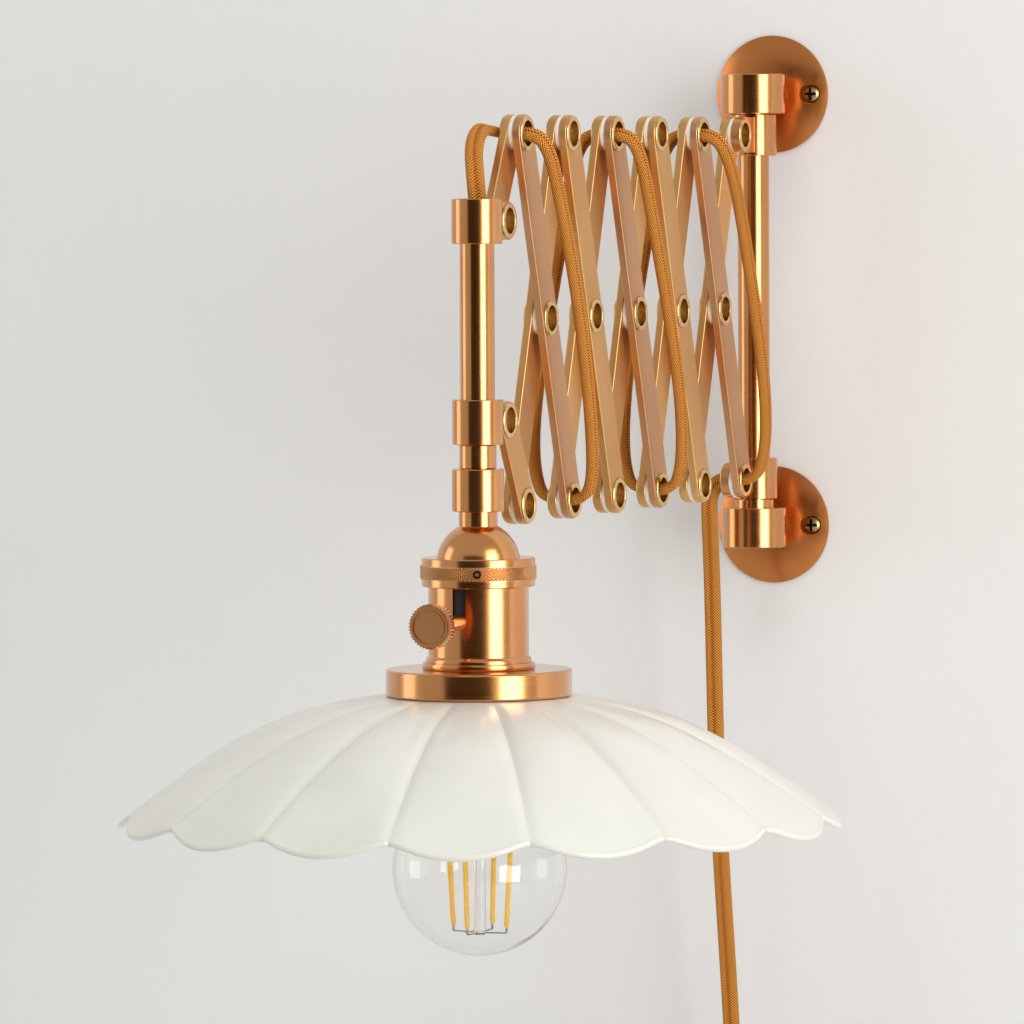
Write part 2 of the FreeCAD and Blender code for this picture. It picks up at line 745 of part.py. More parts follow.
def make_knurled_ring():
    """The ring that screws the cap to the shell, with a small hole for a grub screw in its grip band."""
    body = new_body("knurled_ring")
    band = d.shell_diameter / 2 + d.ring_wall
    grip = band + d.knurl_height
    inner = d.shell_diameter / 2 + d.fixed_clearance
    throat = cap_radius - d.cap_wall
    height = d.ring_height
    step = d.ring_band_height
    broken = d.edge_break
    turn(body, [(inner, -height), (band, -height), (band, -height + step), (grip, -height + step + broken),
                (grip, -step - broken), (band, -step), (band, -broken), (band - broken, 0), (throat, 0),
                (throat, -d.cap_wall), (inner, -d.cap_wall)])
    hole = new_sketch(body, "XZ_Plane", "GrubHoleCircle")
    draw_circle(hole, 0, -height / 2, d.ring_hole_diameter / 2)
    pocket = body.newObject("PartDesign::Pocket", "GrubHole")
    pocket.Profile = (hole, [""])
    pocket.setExpression("Length", d.shell_diameter.text)
    pocket.Reversed = True
    body.Tip = pocket
    doc.recompute()
    body.Placement = turned_about(Z_AXIS, d.ring_hole_turn.value, vector(0, lamp_y, ring_top_z))
    return body


shell_height = d.shell_tuck + d.shell_visible_height + d.bead_height


def make_socket_shell():
    """A thin turned shell with two beads at its foot and a slot for the switch down its front."""
    body = new_body("socket_shell")
    outer = d.shell_diameter / 2
    inner = outer - d.shell_wall
    bead = outer + d.bead_stand
    upper_bead = outer + d.upper_bead_stand
    half = d.bead_height / 2
    turn(body, [(inner, 0), (bead, 0), (bead, half, half), (upper_bead, half),
                (outer, half * 2, half), (outer, shell_height), (inner, shell_height)])
    slot = new_sketch(body, "XZ_Plane", "SlotOutline")
    floor = d.bead_height + d.shell_visible_height - d.slot_drop
    draw_stadium(slot, (0, floor), (0, shell_height + d.slot_width), d.slot_width / 2)
    pocket = body.newObject("PartDesign::Pocket", "Slot")
    pocket.Profile = (slot, [""])
    pocket.setExpression("Length", d.shell_diameter.text)
    pocket.Reversed = True
    body.Tip = pocket
    doc.recompute()
    body.Placement = turned_about(Z_AXIS, 0, vector(0, lamp_y, shell_foot_z))
    return body


stem_axis_z = shell_foot_z + d.bead_height + d.shell_visible_height - d.slot_drop


def make_socket_insert():
    """The insulating body inside the shell. The bulb's cap screws into its foot and the switch stem
    goes in at its front."""
    body = new_body("socket_insert")
    outer = d.shell_diameter / 2 - d.shell_wall - d.insert_clearance
    cavity = d.insert_cavity_diameter / 2
    top = d.bead_height / 2 + d.shell_visible_height + d.ring_height - d.insert_headroom
    depth = d.insert_cavity_depth
    turn(body, [(cavity, 0), (outer, 0), (outer, top), (0, top), (0, depth), (cavity, depth)])
    hole = new_sketch(body, "XZ_Plane", "StemCircle")
    draw_circle(hole, 0, stem_axis_z - shell_foot_z - d.bead_height / 2,
                d.stem_diameter / 2 + d.running_clearance)
    pocket = body.newObject("PartDesign::Pocket", "StemHole")
    pocket.Profile = (hole, [""])
    pocket.setExpression("Length", outer.text)
    pocket.Reversed = True
    body.Tip = pocket
    doc.recompute()
    body.Placement = turned_about(Z_AXIS, 0, vector(0, lamp_y, shell_foot_z + d.bead_height / 2))
    return body


def make_switch_knob():
    """A round turn knob on a thin stem. It is turned upright and laid over to point into the room."""
    body = new_body("switch_knob")
    stem = d.stem_diameter / 2
    knob = d.knob_diameter / 2
    root = d.shell_diameter / 2 - d.shell_wall - d.insert_clearance - d.stem_bite
    back = d.knob_reach - d.knob_thickness
    face = d.knob_reach
    broken = d.edge_break * 2
    dish = knob - broken * 2
    turn(body, [(0, root), (stem, root), (stem, back), (knob - broken, back), (knob, back + broken),
                (knob, face - broken), (knob - broken, face), (dish, face),
                (dish - d.knob_face_recess, face - d.knob_face_recess), (0, face - d.knob_face_recess)])
    body.Placement = turned_about(X_AXIS, 90, vector(0, lamp_y, stem_axis_z))
    return body


def make_shade_fitter():
    """A shallow round holder, spun from sheet with a flange turned in below. It grips the shade's top."""
    body = new_body("shade_fitter")
    outer = d.fitter_diameter / 2
    hole = d.fitter_hole_diameter / 2
    flange = d.fitter_flange_diameter / 2
    wall = d.fitter_wall
    height = d.fitter_height
    soft = d.fitter_edge_radius
    turn(body, [(hole, 0), (hole, -wall), (outer - wall, -wall), (outer - wall, -height + wall),
                (flange, -height + wall), (flange, -height), (outer - soft, -height),
                (outer, -height + soft, soft), (outer, -soft), (outer - soft, 0, soft)])
    body.Placement = turned_about(Z_AXIS, 0, vector(0, lamp_y, fitter_top_z))
    return body


def shade_height(radius, edge):
    """How far the shade's outside lies below its flat top. edge is 1 in the middle of a petal and 0
    where two petals meet."""
    shoulder = d.shade_shoulder_diameter.value / 2
    node = d.shade_node_diameter.value / 2
    share = max(radius - shoulder, 0) / (node - shoulder)
    drop = d.shade_drop.value * share ** d.shade_curve_power.value
    puff = d.shade_puff.value * edge * math.sin(math.pi * min(share, 1)) ** 2
    curl = d.shade_curl.value * edge * share ** CURL_POWER
    return puff - drop - curl


def petal_surface(lift):
    """One petal as a smooth patch through points that follow the shade's formula."""
    across_steps, out_steps = 9, 24
    inner = d.shade_hole_diameter.value / 2
    node = d.shade_node_diameter.value / 2
    grid = []
    for step in range(out_steps):
        row = []
        for place in range(across_steps):
            side = 2 * place / (across_steps - 1) - 1
            edge = 1 - side ** 2
            rim = node + d.shade_scallop.value * edge
            radius = inner + (rim - inner) * step / (out_steps - 1)
            angle = side * math.pi / d.petal_count.value
            row.append(FreeCAD.Vector(radius * math.sin(angle), -radius * math.cos(angle),
                                      shade_height(radius, edge) + lift))
        grid.append(row)
    surface = Part.BSplineSurface()
    surface.interpolate(grid)
    return surface


def make_shade():
    """A thin dish of like petals, each puffed up a little, with a scalloped edge."""
    outside = petal_surface(0)
    inside = petal_surface(-d.shade_thickness.value)
    first, last, _, _ = outside.bounds()
    sides = [Part.makeRuledSurface(outside.uIso(edge).toShape(), inside.uIso(edge).toShape())
             for edge in (first, last)]
    petal = [outside.toShape(), inside.toShape()] + sides
    faces = []
    for number in range(int(d.petal_count.value)):
        turned = FreeCAD.Placement(FreeCAD.Vector(), FreeCAD.Rotation(Z_AXIS, number * 360 / d.petal_count.value))
        for face in petal:
            copy = face.copy()
            copy.transformShape(turned.toMatrix())
            faces.append(copy)
    shell = Part.Shell(Part.makeCompound(faces).Faces)
    shell.sewShape()
    solid = Part.Solid(Part.Shell(shell.Faces))
    if solid.Volume < 0:
        solid.reverse()
    feature = doc.addObject("Part::Feature", "shade")
    feature.Label = "shade"
    feature.Shape = solid
    feature.Placement = turned_about(Z_AXIS, d.shade_turn.value, vector(0, lamp_y, shade_top_z))
    return feature


def make_bulb_glass():
    """A thin glass globe with a neck, open at the top where its cap holds it."""
    body = new_body("bulb_glass")
    outer = d.bulb_diameter / 2
    neck = d.bulb_neck_diameter / 2
    wall = d.bulb_wall
    inner = outer - wall
    mouth = d.bulb_drop - d.bead_height
    shoulder_r = outer * sine(d.bulb_shoulder_angle)
    shoulder_z = outer * cosine(d.bulb_shoulder_angle)
    inner_r = inner * sine(d.bulb_shoulder_angle)
    inner_z = inner * cosine(d.bulb_shoulder_angle)
    neck_foot = mouth - d.bulb_neck_length
    turn(body, [(0, -outer), (outer, 0, outer), (shoulder_r, shoulder_z, outer), (neck, neck_foot),
                (neck, mouth), (neck - wall, mouth), (neck - wall, neck_foot), (inner_r, inner_z),
                (inner, 0, -inner), (0, -inner, -inner)])
    body.Placement = turned_about(Z_AXIS, 0, vector(0, lamp_y, bulb_centre_z))
    return body


bulb_mouth_z = bulb_centre_z + d.bulb_drop - d.bead_height


def make_bulb_cap():
    """The bulb's metal screw cap, with its contact tip."""
    body = new_body("bulb_cap")
    outer = d.bulb_cap_diameter / 2
    tip = d.bulb_cap_tip_diameter / 2
    seat = d.bulb_neck_diameter / 2 - d.bulb_wall - d.fixed_clearance
    rise = d.bulb_cap_height - d.bulb_cap_tip_height
    turn(body, [(0, -d.bulb_cap_tip_height), (seat, -d.bulb_cap_tip_height), (seat, 0), (outer, 0),
                (outer, rise - d.bulb_cap_tip_height), (tip, rise), (tip, rise + d.edge_break),
                (0, rise + d.edge_break)])
    body.Placement = turned_about(Z_AXIS, 0, vector(0, lamp_y, bulb_mouth_z + d.rest_gap))
    return body


def make_filaments():
    """A glass stem down the middle of the globe with upright filaments round it, held by thin wires."""
    floor = d.filament_floor - d.bulb_diameter / 2
    foot = floor - d.filament_wire_diameter
    top = d.bulb_drop - d.bead_height - d.bulb_cap_tip_height
    pieces = []
    stem = doc.addObject("Part::Cylinder", "GlassStem")
    stem.setExpression("Radius", (d.stem_glass_diameter / 2).text)
    stem.setExpression("Height", (top - foot).text)
    stem.Placement = turned_about(Z_AXIS, 0, vector(0, 0, foot))
    pieces.append(stem)
    ring = d.filament_circle_diameter / 2
    for number in range(int(d.filament_count.value)):
        lean = (number + 0.5) * 360 / d.filament_count.value
        spot = FreeCAD.Rotation(Z_AXIS, lean).multVec(vector(ring, 0, floor))
        rod = doc.addObject("Part::Cylinder", f"Filament{number + 1}")
        rod.setExpression("Radius", (d.filament_diameter / 2).text)
        rod.setExpression("Height", d.filament_length.text)
        rod.Placement = FreeCAD.Placement(spot, FreeCAD.Rotation())
        pieces.append(rod)
        for level, name in ((floor, "Foot"), (floor + d.filament_length, "Head")):
            wire = doc.addObject("Part::Cylinder", f"{name}Wire{number + 1}")
            wire.setExpression("Radius", (d.filament_wire_diameter / 2).text)
            wire.setExpression("Height", ring.text)
            aim = FreeCAD.Rotation(Z_AXIS, lean).multiply(FreeCAD.Rotation(Y_AXIS, 90))
            wire.Placement = FreeCAD.Placement(vector(0, 0, level), aim)
            pieces.append(wire)
    fuse = doc.addObject("Part::MultiFuse", "bulb_filaments")
    fuse.Label = "bulb_filaments"
    fuse.Shapes = pieces
    fuse.Placement = turned_about(Z_AXIS, 0, vector(0, lamp_y, bulb_centre_z))
    return fuse


# ---------------------------------------------------------------- cord

def tube(label, points, diameter):
    """A round tube along straight runs joined by tangent arcs as large as the runs allow."""
    runs = [(second - first).Length for first, second in zip(points, points[1:])]
    path, radii, here = [], [], points[0]
    for number in range(1, len(points) - 1):
        back = (points[number - 1] - points[number]).normalize()
        on = (points[number + 1] - points[number]).normalize()
        half_turn = (math.pi - back.getAngle(on)) / 2
        trim = ARC_SHARE * min(runs[number - 1], runs[number])
        radii.append(trim / math.tan(half_turn))
        start = points[number] + back * trim
        end = points[number] + on * trim
        bisector = (back + on).normalize()
        centre_way = radii[-1] / math.cos(half_turn)
        arc_middle = points[number] + bisector * (centre_way - radii[-1])
        path.append(Part.LineSegment(here, start).toShape())
        path.append(Part.Arc(start, arc_middle, end).toShape())
        here = end
    path.append(Part.LineSegment(here, points[-1]).toShape())
    wire = Part.Wire(path)
    ring = Part.Wire(Part.makeCircle(diameter / 2, points[0], points[1] - points[0]))
    solid = wire.makePipeShell([ring], True, False)
    section = math.pi * diameter ** 2 / 4
    if abs(solid.Volume / (section * wire.Length) - 1) > VOLUME_TOLERANCE:
        raise ValueError(f"{label}: the tube's volume isn't its section times its length")
    print(f"{label}: length {wire.Length:.1f} mm, radii", ", ".join(f"{radius:.1f}" for radius in radii))
    feature = doc.addObject("Part::Feature", label)
    feature.Label = label
    feature.Shape = solid
    return feature


def grown(offset):
    return FreeCAD.Vector(*offset) * (d.bar_pivot_spacing.value / ROUTE_SPACING)


def make_span(number):
    """The stretch of cord beside one bar, from the bar's top pivot to its bottom pivot."""
    side = RIGHT if number % 2 else LEFT
    top = top_pivot(number) if side == RIGHT else top_pivot(number + 1)
    bottom = bottom_pivot(number + 1) if side == RIGHT else bottom_pivot(number)
    down = (bottom - top).normalize()
    inward = down.cross(X_AXIS)
    inward = inward if inward.y > 0 else -inward
    points = []
    for offset in SPAN_ROUTES[number]:
        out, aside, along = grown(offset)
        points.append(top + X_AXIS * (side * out) + inward * aside + down * along)
    return tube(f"cord_span_{number}", points, d.cord_diameter.value)


def supply_points():
    pivot = bottom_pivot(BAR_PAIRS + 1)
    return [pivot + grown(offset) for offset in SUPPLY_ROUTE]


def make_supply_cord():
    return tube("supply_cord", supply_points(), d.cord_diameter.value)


def make_lamp_cord():
    points = [top_pivot(1) + grown(offset) for offset in LAMP_CORD_ROUTE]
    return tube("lamp_cord", points, d.cord_diameter.value)


coil_half_width = d.cord_width * d.coil_turns_across / 2
coil_half_depth = d.cord_thickness * d.coil_turns_along / 2
outer_turn_radius = d.coil_mid_diameter / 2 + coil_half_width - d.cord_width / 2


def coil_drop():
    """How far the coil's surface is above or below its centre, where the outermost turn is upright."""
    outer = outer_turn_radius.value + d.cord_width.value / 2
    return math.sqrt(outer ** 2 - outer_turn_radius.value ** 2)


def coil_centre():
    """The supply joins the coil's outermost turn on its wall side, going down."""
    end = supply_points()[-1]
    return end + FreeCAD.Vector(coil_half_depth.value / 2, -outer_turn_radius.value, -coil_drop())


def make_coil():
    """The spare length of cord as one neat coil, a ring with soft corners."""
    body = new_body("cord_coil")
    middle_radius = d.coil_mid_diameter / 2
    inner = middle_radius - coil_half_width
    outer = middle_radius + coil_half_width
    soft = d.cord_thickness / 2
    half = coil_half_depth
    turn(body, [(inner + soft, -half, soft), (outer - soft, -half), (outer, -half + soft, soft),
                (outer, half - soft), (outer - soft, half, soft), (inner + soft, half),
                (inner, half - soft, soft), (inner, -half + soft)])
    body.Placement = turned_about(Y_AXIS, 90, coil_centre())
    return body


def make_plug():
    """A two-blade plug that hangs from the coil, with its tapered strain relief on top."""
    relief = new_body("PlugRelief")
    turn(relief, [(0, 0), (d.relief_top_diameter / 2, 0), (d.relief_base_diameter / 2, -d.relief_length),
                  (0, -d.relief_length)])
    block = doc.addObject("Part::Box", "PlugBlock")
    block.setExpression("Length", d.plug_thickness.text)
    block.setExpression("Width", d.plug_width.text)
    block.setExpression("Height", d.plug_length.text)
    block.Placement = turned_about(Z_AXIS, 0, vector(-d.plug_thickness / 2, -d.plug_width / 2,
                                                     -d.relief_length - d.plug_length))
    doc.recompute()
    soft = doc.addObject("Part::Fillet", "PlugSoftBlock")
    soft.Base = block
    radius = d.plug_corner_radius.value
    soft.Edges = [(number, radius, radius) for number in range(1, 13)]
    parts = [relief, soft]
    for side in (LEFT, RIGHT):
        blade = doc.addObject("Part::Box", "BladeLeft" if side == LEFT else "BladeRight")
        blade.setExpression("Length", d.blade_width.text)
        blade.setExpression("Width", d.blade_thickness.text)
        blade.setExpression("Height", (d.blade_length + d.plug_corner_radius).text)
        corner = vector(-d.blade_width / 2, d.blade_spacing / 2 * side - d.blade_thickness / 2,
                        -d.relief_length - d.plug_length - d.blade_length)
        blade.Placement = FreeCAD.Placement(corner, FreeCAD.Rotation())
        parts.append(blade)
    plug = doc.addObject("Part::MultiFuse", "plug")
    plug.Label = "plug"
    plug.Shapes = parts
    hang = FreeCAD.Vector(coil_half_depth.value / 2, outer_turn_radius.value, -coil_drop())
    plug.Placement = FreeCAD.Placement(coil_centre() + hang, FreeCAD.Rotation())
    return plug


# ---------------------------------------------------------------- the whole lamp

def make_lamp():
    nodes = [make_wall_plate("upper_wall_plate", upper_plate_z),
             make_wall_plate("lower_wall_plate", lower_plate_z),
             make_wall_screws(make_screw_master()),
             make_rod_holder("upper_rod_holder", upper_plate_z, -1),
             make_rod_holder("lower_rod_holder", lower_plate_z, 1),
             make_wall_rod(),
             make_collar("upper_wall_collar", rod_y, top_row_z, RIGHT, TOWARDS_ROOM, d.wall_reach,
                         d.fixed_clearance),
             make_collar("lower_wall_collar", rod_y, bottom_row_z, LEFT, TOWARDS_ROOM, d.wall_reach,
                         d.running_clearance),
             make_collar("upper_lamp_collar", lamp_y, upper_link_z, RIGHT, TOWARDS_WALL, d.lamp_reach,
                         d.fixed_clearance),
             make_collar("lower_lamp_collar", lamp_y, lower_link_z, LEFT, TOWARDS_WALL, d.lamp_reach,
                         d.running_clearance)]

    eyelet = make_eyelet_master()
    washer = make_washer_master()
    bar_holes = (-1, 0, 1)
    link_holes = (-1, 1)
    for number in range(1, BAR_PAIRS + 1):
        top, bottom = top_pivot(number), bottom_pivot(number + 1)
        nodes.append(make_bar(f"right_bar_{number}", d.bar_pivot_spacing, bar_holes, top, bottom, RIGHT))
        pivots = [top, middle(top, bottom), bottom]
        nodes.append(pivot_group(f"eyelets_{number}", eyelet, pivots))
        nodes.append(pivot_group(f"washers_{number}", washer, pivots))
        nodes.append(make_bar(f"left_bar_{number}", d.bar_pivot_spacing, bar_holes, top_pivot(number + 1),
                              bottom_pivot(number), LEFT))
    nodes.append(make_bar("upper_end_link", d.link_pivot_spacing, link_holes, top_pivot(1), upper_link_pivot,
                          LEFT))
    nodes.append(make_bar("lower_end_link", d.link_pivot_spacing, link_holes, lower_link_pivot,
                          bottom_pivot(1), RIGHT))
    for place, pivots in (("end_link", [bottom_pivot(1), lower_link_pivot]), ("lamp", [upper_link_pivot]),
                          ("wall", [top_pivot(BAR_PAIRS + 1)])):
        nodes.append(pivot_group(f"{place}_eyelets", eyelet, pivots))
        nodes.append(pivot_group(f"{place}_washers", washer, pivots))

    nodes += [make_lamp_rod(), make_neck(), make_swivel_collar(), make_socket_cap(), make_knurled_ring(),
              make_socket_shell(), make_socket_insert(), make_switch_knob(), make_shade_fitter(), make_shade(),
              make_bulb_glass(), make_bulb_cap(), make_filaments()]
    nodes += [make_span(number) for number in range(1, BAR_PAIRS + 1)]
    nodes += [make_supply_cord(), make_lamp_cord(), make_coil(), make_plug()]
    return nodes


def check_and_write(nodes):
    doc.recompute()
    for item in doc.Objects:
        if "Invalid" in item.State or "Error" in item.State:
            raise ValueError(f"{item.Label} failed: {item.State}")
    for node in nodes:
        if node.Shape.isNull() or not node.Shape.isValid() or not node.Shape.Solids:
            raise ValueError(f"{node.Label} has no valid solid")
    os.makedirs("parts", exist_ok=True)
    for node in nodes:
        node.Shape.exportStep(f"parts/{node.Label}.step")
    print(f"{len(nodes)} nodes written")


check_and_write(make_lamp())
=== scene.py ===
# %% [markdown]
# # A wall lamp on an accordion arm
# The lamp pulls out from the wall on a scissor arm of flat copper bars. A braided cord is woven through
# the arm's hollow pivots, and the lamp hangs at the end under a scalloped enamel dish. The solid parts
# come from the construction model, which sets every size and joint. This script dresses them: it adds
# the cord, the enamel dish, the knurled metal, the bulb's inside and every finish.

# %% Start
import math

import bpy
from mathutils import Matrix, Vector


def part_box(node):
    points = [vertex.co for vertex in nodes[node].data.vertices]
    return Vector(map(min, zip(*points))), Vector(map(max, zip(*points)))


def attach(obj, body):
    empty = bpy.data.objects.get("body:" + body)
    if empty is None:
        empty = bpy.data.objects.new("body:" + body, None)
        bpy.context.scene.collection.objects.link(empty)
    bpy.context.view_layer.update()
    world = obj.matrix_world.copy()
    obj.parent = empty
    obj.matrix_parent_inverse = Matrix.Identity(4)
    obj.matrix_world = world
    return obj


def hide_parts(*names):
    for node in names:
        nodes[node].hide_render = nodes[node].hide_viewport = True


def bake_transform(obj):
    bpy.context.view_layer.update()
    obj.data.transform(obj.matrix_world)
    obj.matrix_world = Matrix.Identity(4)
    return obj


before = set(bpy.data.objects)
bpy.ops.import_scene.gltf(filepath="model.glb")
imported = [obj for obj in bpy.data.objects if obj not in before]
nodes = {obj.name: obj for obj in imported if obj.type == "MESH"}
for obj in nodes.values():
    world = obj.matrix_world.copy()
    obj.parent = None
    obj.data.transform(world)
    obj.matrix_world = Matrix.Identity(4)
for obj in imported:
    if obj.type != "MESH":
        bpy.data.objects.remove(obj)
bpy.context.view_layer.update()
MM = 0.001

# %% [markdown]
# ## The camera
# The photograph was taken from the lamp's right, almost level, with a long lens, so that upright lines
# stay upright. A camera can be aimed with a constraint, or turned by hand. Here its place and its turn
# are worked out from three angles and a distance, because that is how a photographer would set it up
# again.

# %% Camera
IMAGE_SIDE = 1024
SENSOR = 36.0
FOCAL_LENGTH_PIXELS = 7303.0
VIEW_ROUND = math.radians(22.5)
VIEW_DOWN = math.radians(2.69)
VIEW_ROLL = math.radians(-0.25)
VIEW_DISTANCE = 2.984
AIM = Vector((-0.0471, -0.1800, -0.07935))


def camera_turn(round_angle, down_angle, roll):
    """The camera's right, up and back directions as the columns of a turn."""
    forward = Vector((-math.sin(round_angle) * math.cos(down_angle),
                      math.cos(round_angle) * math.cos(down_angle), -math.sin(down_angle)))
    level = Vector((math.cos(round_angle), math.sin(round_angle), 0))
    above = level.cross(forward)
    right = level * math.cos(roll) + above * math.sin(roll)
    up = above * math.cos(roll) - level * math.sin(roll)
    return Matrix((right, up, -forward)).transposed(), forward


bpy.ops.object.select_all(action="DESELECT")
turn, forward = camera_turn(VIEW_ROUND, VIEW_DOWN, VIEW_ROLL)
bpy.ops.object.camera_add(location=AIM - forward * VIEW_DISTANCE, rotation=turn.to_euler())
camera = bpy.context.object
camera.name = "photo_camera"
camera.data.sensor_width = SENSOR
camera.data.lens = FOCAL_LENGTH_PIXELS * SENSOR / IMAGE_SIDE
bpy.context.scene.camera = camera
print("camera at", tuple(round(c, 3) for c in camera.location), "lens", round(camera.data.lens, 1))

# %% [markdown]
# ## The cord
# One flat twin cord, two insulated wires side by side under one braid, runs from the plug to the lamp.
# It goes through the hollow pivots and lies beside every second bar. The spare length is wound into a
# coil under the lamp, held by a tie. First come the places it runs through: the rows of pivots, which
# are read from the outermost bar.

# %% Where the cord runs
CORD_WIDTH = 7.2 * MM
CORD_THICKNESS = 4.7 * MM

BAR_PAIRS = 5
RIGHT, LEFT = 1, -1

# A pivot is in the middle of a bar's round end.
HALF_WIDTH = 7.4 * MM
low, high = (Vector(corner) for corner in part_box("right_bar_1"))
BAR_RUN = high.y - low.y - 2 * HALF_WIDTH
TOP_Z = high.z - HALF_WIDTH
BOTTOM_Z = low.z + HALF_WIDTH
OUTER_TOP = Vector((0, low.y + HALF_WIDTH, TOP_Z))
print("bar run", round(BAR_RUN / MM, 2), "rows at", round(TOP_Z / MM, 2), round(BOTTOM_Z / MM, 2))


def top_pivot(number):
    return OUTER_TOP + Vector((0, BAR_RUN * (number - 1), 0))


def bottom_pivot(number):
    return Vector((0, OUTER_TOP.y + BAR_RUN * (number - 1), BOTTOM_Z))


# %% [markdown]
# ## Routes laid one by one
# Beside a bar the cord comes out of an eyelet, turns down, lies along the bar with a little slack and
# turns into the next row. Slack cord between two holes follows no simple formula, and a cloth-like
# simulation would give another shape on every run, so the points are listed and a smooth line
# runs past them.

# %% Routes of the spans, the supply and the lamp's end
# A point is (out from the bars, towards the wall, down from the top pivot), in millimetres.
SPAN_ROUTES = {
    1: [(0, 0, 0), (8.4, 0, 0), (12.3, 0.9, 7.4), (13.2, 2.2, 20), (14.4, 3.4, 44), (15.2, 4.0, 76),
        (15.0, 3.2, 108), (14.2, 1.8, 131), (12.6, 0.8, 145.6), (8.4, 0, 153.6), (0, 0, 153.6)],
    2: [(0, 0, 0), (8.4, 0, 0), (12.6, -0.4, 7.6), (13.4, -1.0, 21), (14.2, -1.8, 46), (15.6, -2.4, 79),
        (16.6, -2.6, 110), (15.8, -1.6, 132), (12.9, -0.4, 145.8), (8.4, 0, 153.6), (0, 0, 153.6)],
    3: [(0, 0, 0), (8.4, 0, 0), (12.2, 1.0, 7.5), (13.0, 2.4, 22), (14.0, 3.2, 48), (15.4, 3.6, 81),
        (16.2, 2.8, 111), (15.2, 1.4, 132), (12.8, 0.5, 145.9), (8.4, 0, 153.6), (0, 0, 153.6)],
    4: [(0, 0, 0), (8.4, 0, 0), (12.4, -0.6, 7.5), (13.6, -1.4, 20), (14.9, -2.2, 45), (16.2, -2.6, 78),
        (16.4, -2.2, 109), (15.4, -1.2, 132), (12.7, -0.4, 145.7), (8.4, 0, 153.6), (0, 0, 153.6)],
    5: [(0, 0, 0), (8.4, 0, 0), (12.9, 0.6, 7.2), (15.0, 1.6, 20), (16.2, 2.2, 45), (17.0, 2.6, 77),
        (17.3, 2.4, 108), (16.0, 1.2, 131), (12.9, 0.4, 145.4), (8.4, 0, 153.6), (0, 0, 153.6)],
}

# From the lowest wall pivot down; points are (right, towards the wall, up) from that pivot.
SUPPLY_ROUTE = [(0, 0, 0), (-8.0, 0, 0), (-12.2, -0.4, -6.6), (-11.8, -0.2, -20), (-11.0, 0.4, -46),
                (-10.6, 1.4, -84), (-10.3, 2.9, -124), (-9.8, 6.4, -161), (-9.0, 11.0, -200),
                (-8.1, 14.9, -239), (-7.4, 17.0, -277)]

# From the outermost top pivot over into the lamp rod; points are (right, towards the wall, up) from it.
LAMP_CORD_ROUTE = [(0, 0, 0), (-7.4, 0, 0), (-10.6, -6.8, 1.8), (-9.0, -15.4, 1.4), (-7.4, -24.2, -1.8),
                   (-5.0, -32.2, -7.6), (-2.2, -37.4, -15.8), (-0.5, -39.3, -25.0), (0, -39.1, -33.4)]


def span_points(number):
    side = RIGHT if number % 2 else LEFT
    top = top_pivot(number) if side == RIGHT else top_pivot(number + 1)
    bottom = bottom_pivot(number + 1) if side == RIGHT else bottom_pivot(number)
    down = (bottom - top).normalized()
    inward = Vector((0, -down.z, down.y))
    return [top + (Vector((side * out, 0, 0)) + inward * aside + down * along) * MM
            for out, aside, along in SPAN_ROUTES[number]]


print("span routes", len(SPAN_ROUTES), "with", len(SPAN_ROUTES[1]), "points each")

# %% [markdown]
# ## The coil
# The spare cord is wound flat: three turns inwards in one layer, then three outwards in a second layer
# beside it, so that both ends come off the outside. A helix would be simpler, but it would leave one
# end inside. The turns are regular, so a loop works them out.

# %% The coil's turns
TURNS_ACROSS = 3
TURNS_ALONG = 2
POINTS_PER_TURN = 16
# Two layers lie a little looser than the cord is thick.
LAYER_ROOM = 1.04


def coil_points(coil_middle, middle_radius):
    """Turns that wind inwards in one layer and outwards in the other, starting on the wall side."""
    pitch = CORD_WIDTH
    layer = CORD_THICKNESS * LAYER_ROOM
    total = TURNS_ACROSS * TURNS_ALONG
    points = []
    for step in range(1, total * POINTS_PER_TURN):
        turns = step / POINTS_PER_TURN
        across = abs(turns - TURNS_ACROSS) / TURNS_ACROSS * 2 - 1
        along = min(max((turns - TURNS_ACROSS) * 2, -1), 1)
        radius = middle_radius + pitch * across
        angle = math.tau * turns
        points.append(coil_middle + Vector((layer / 2 * along, radius * math.cos(angle),
                                            -radius * math.sin(angle))))
    return points


print("coil of", TURNS_ACROSS * TURNS_ALONG, "turns")

# %% [markdown]
# ## The flat section
# A curve with a round bevel would make a round cord, and a flat bevel turns over wherever the route
# twists. So the section, two wires under one braid, is carried along the route in code: each ring of
# points turns only as much as the route bends there. The same loop gives the strip the map that the
# braid follows.

# %% Sweeping the flat section
def route_curve(name, points):
    """A smooth open line pulled towards the route's points."""
    data = bpy.data.curves.new(name, "CURVE")
    data.dimensions = "3D"
    data.resolution_u = 10
    spline = data.splines.new("NURBS")
    spline.points.add(len(points) - 1)
    for control, point in zip(spline.points, points):
        control.co = (*point, 1)
    spline.order_u = 3
    spline.use_endpoint_u = True
    return data


def line_along(name, points):
    """The smooth line's own points, read from the curve."""
    holder = bpy.data.objects.new(name, route_curve(name, points))
    bpy.context.scene.collection.objects.link(holder)
    bpy.context.view_layer.update()
    mesh = bpy.data.meshes.new_from_object(holder)
    line = [vertex.co.copy() for vertex in mesh.vertices]
    bpy.data.objects.remove(holder)
    bpy.data.meshes.remove(mesh)
    return line


SECTION_POINTS = 28
SECTION_FULLNESS = 0.85
WAIST_DEPTH = 0.42
WAIST_WIDTH = 0.17


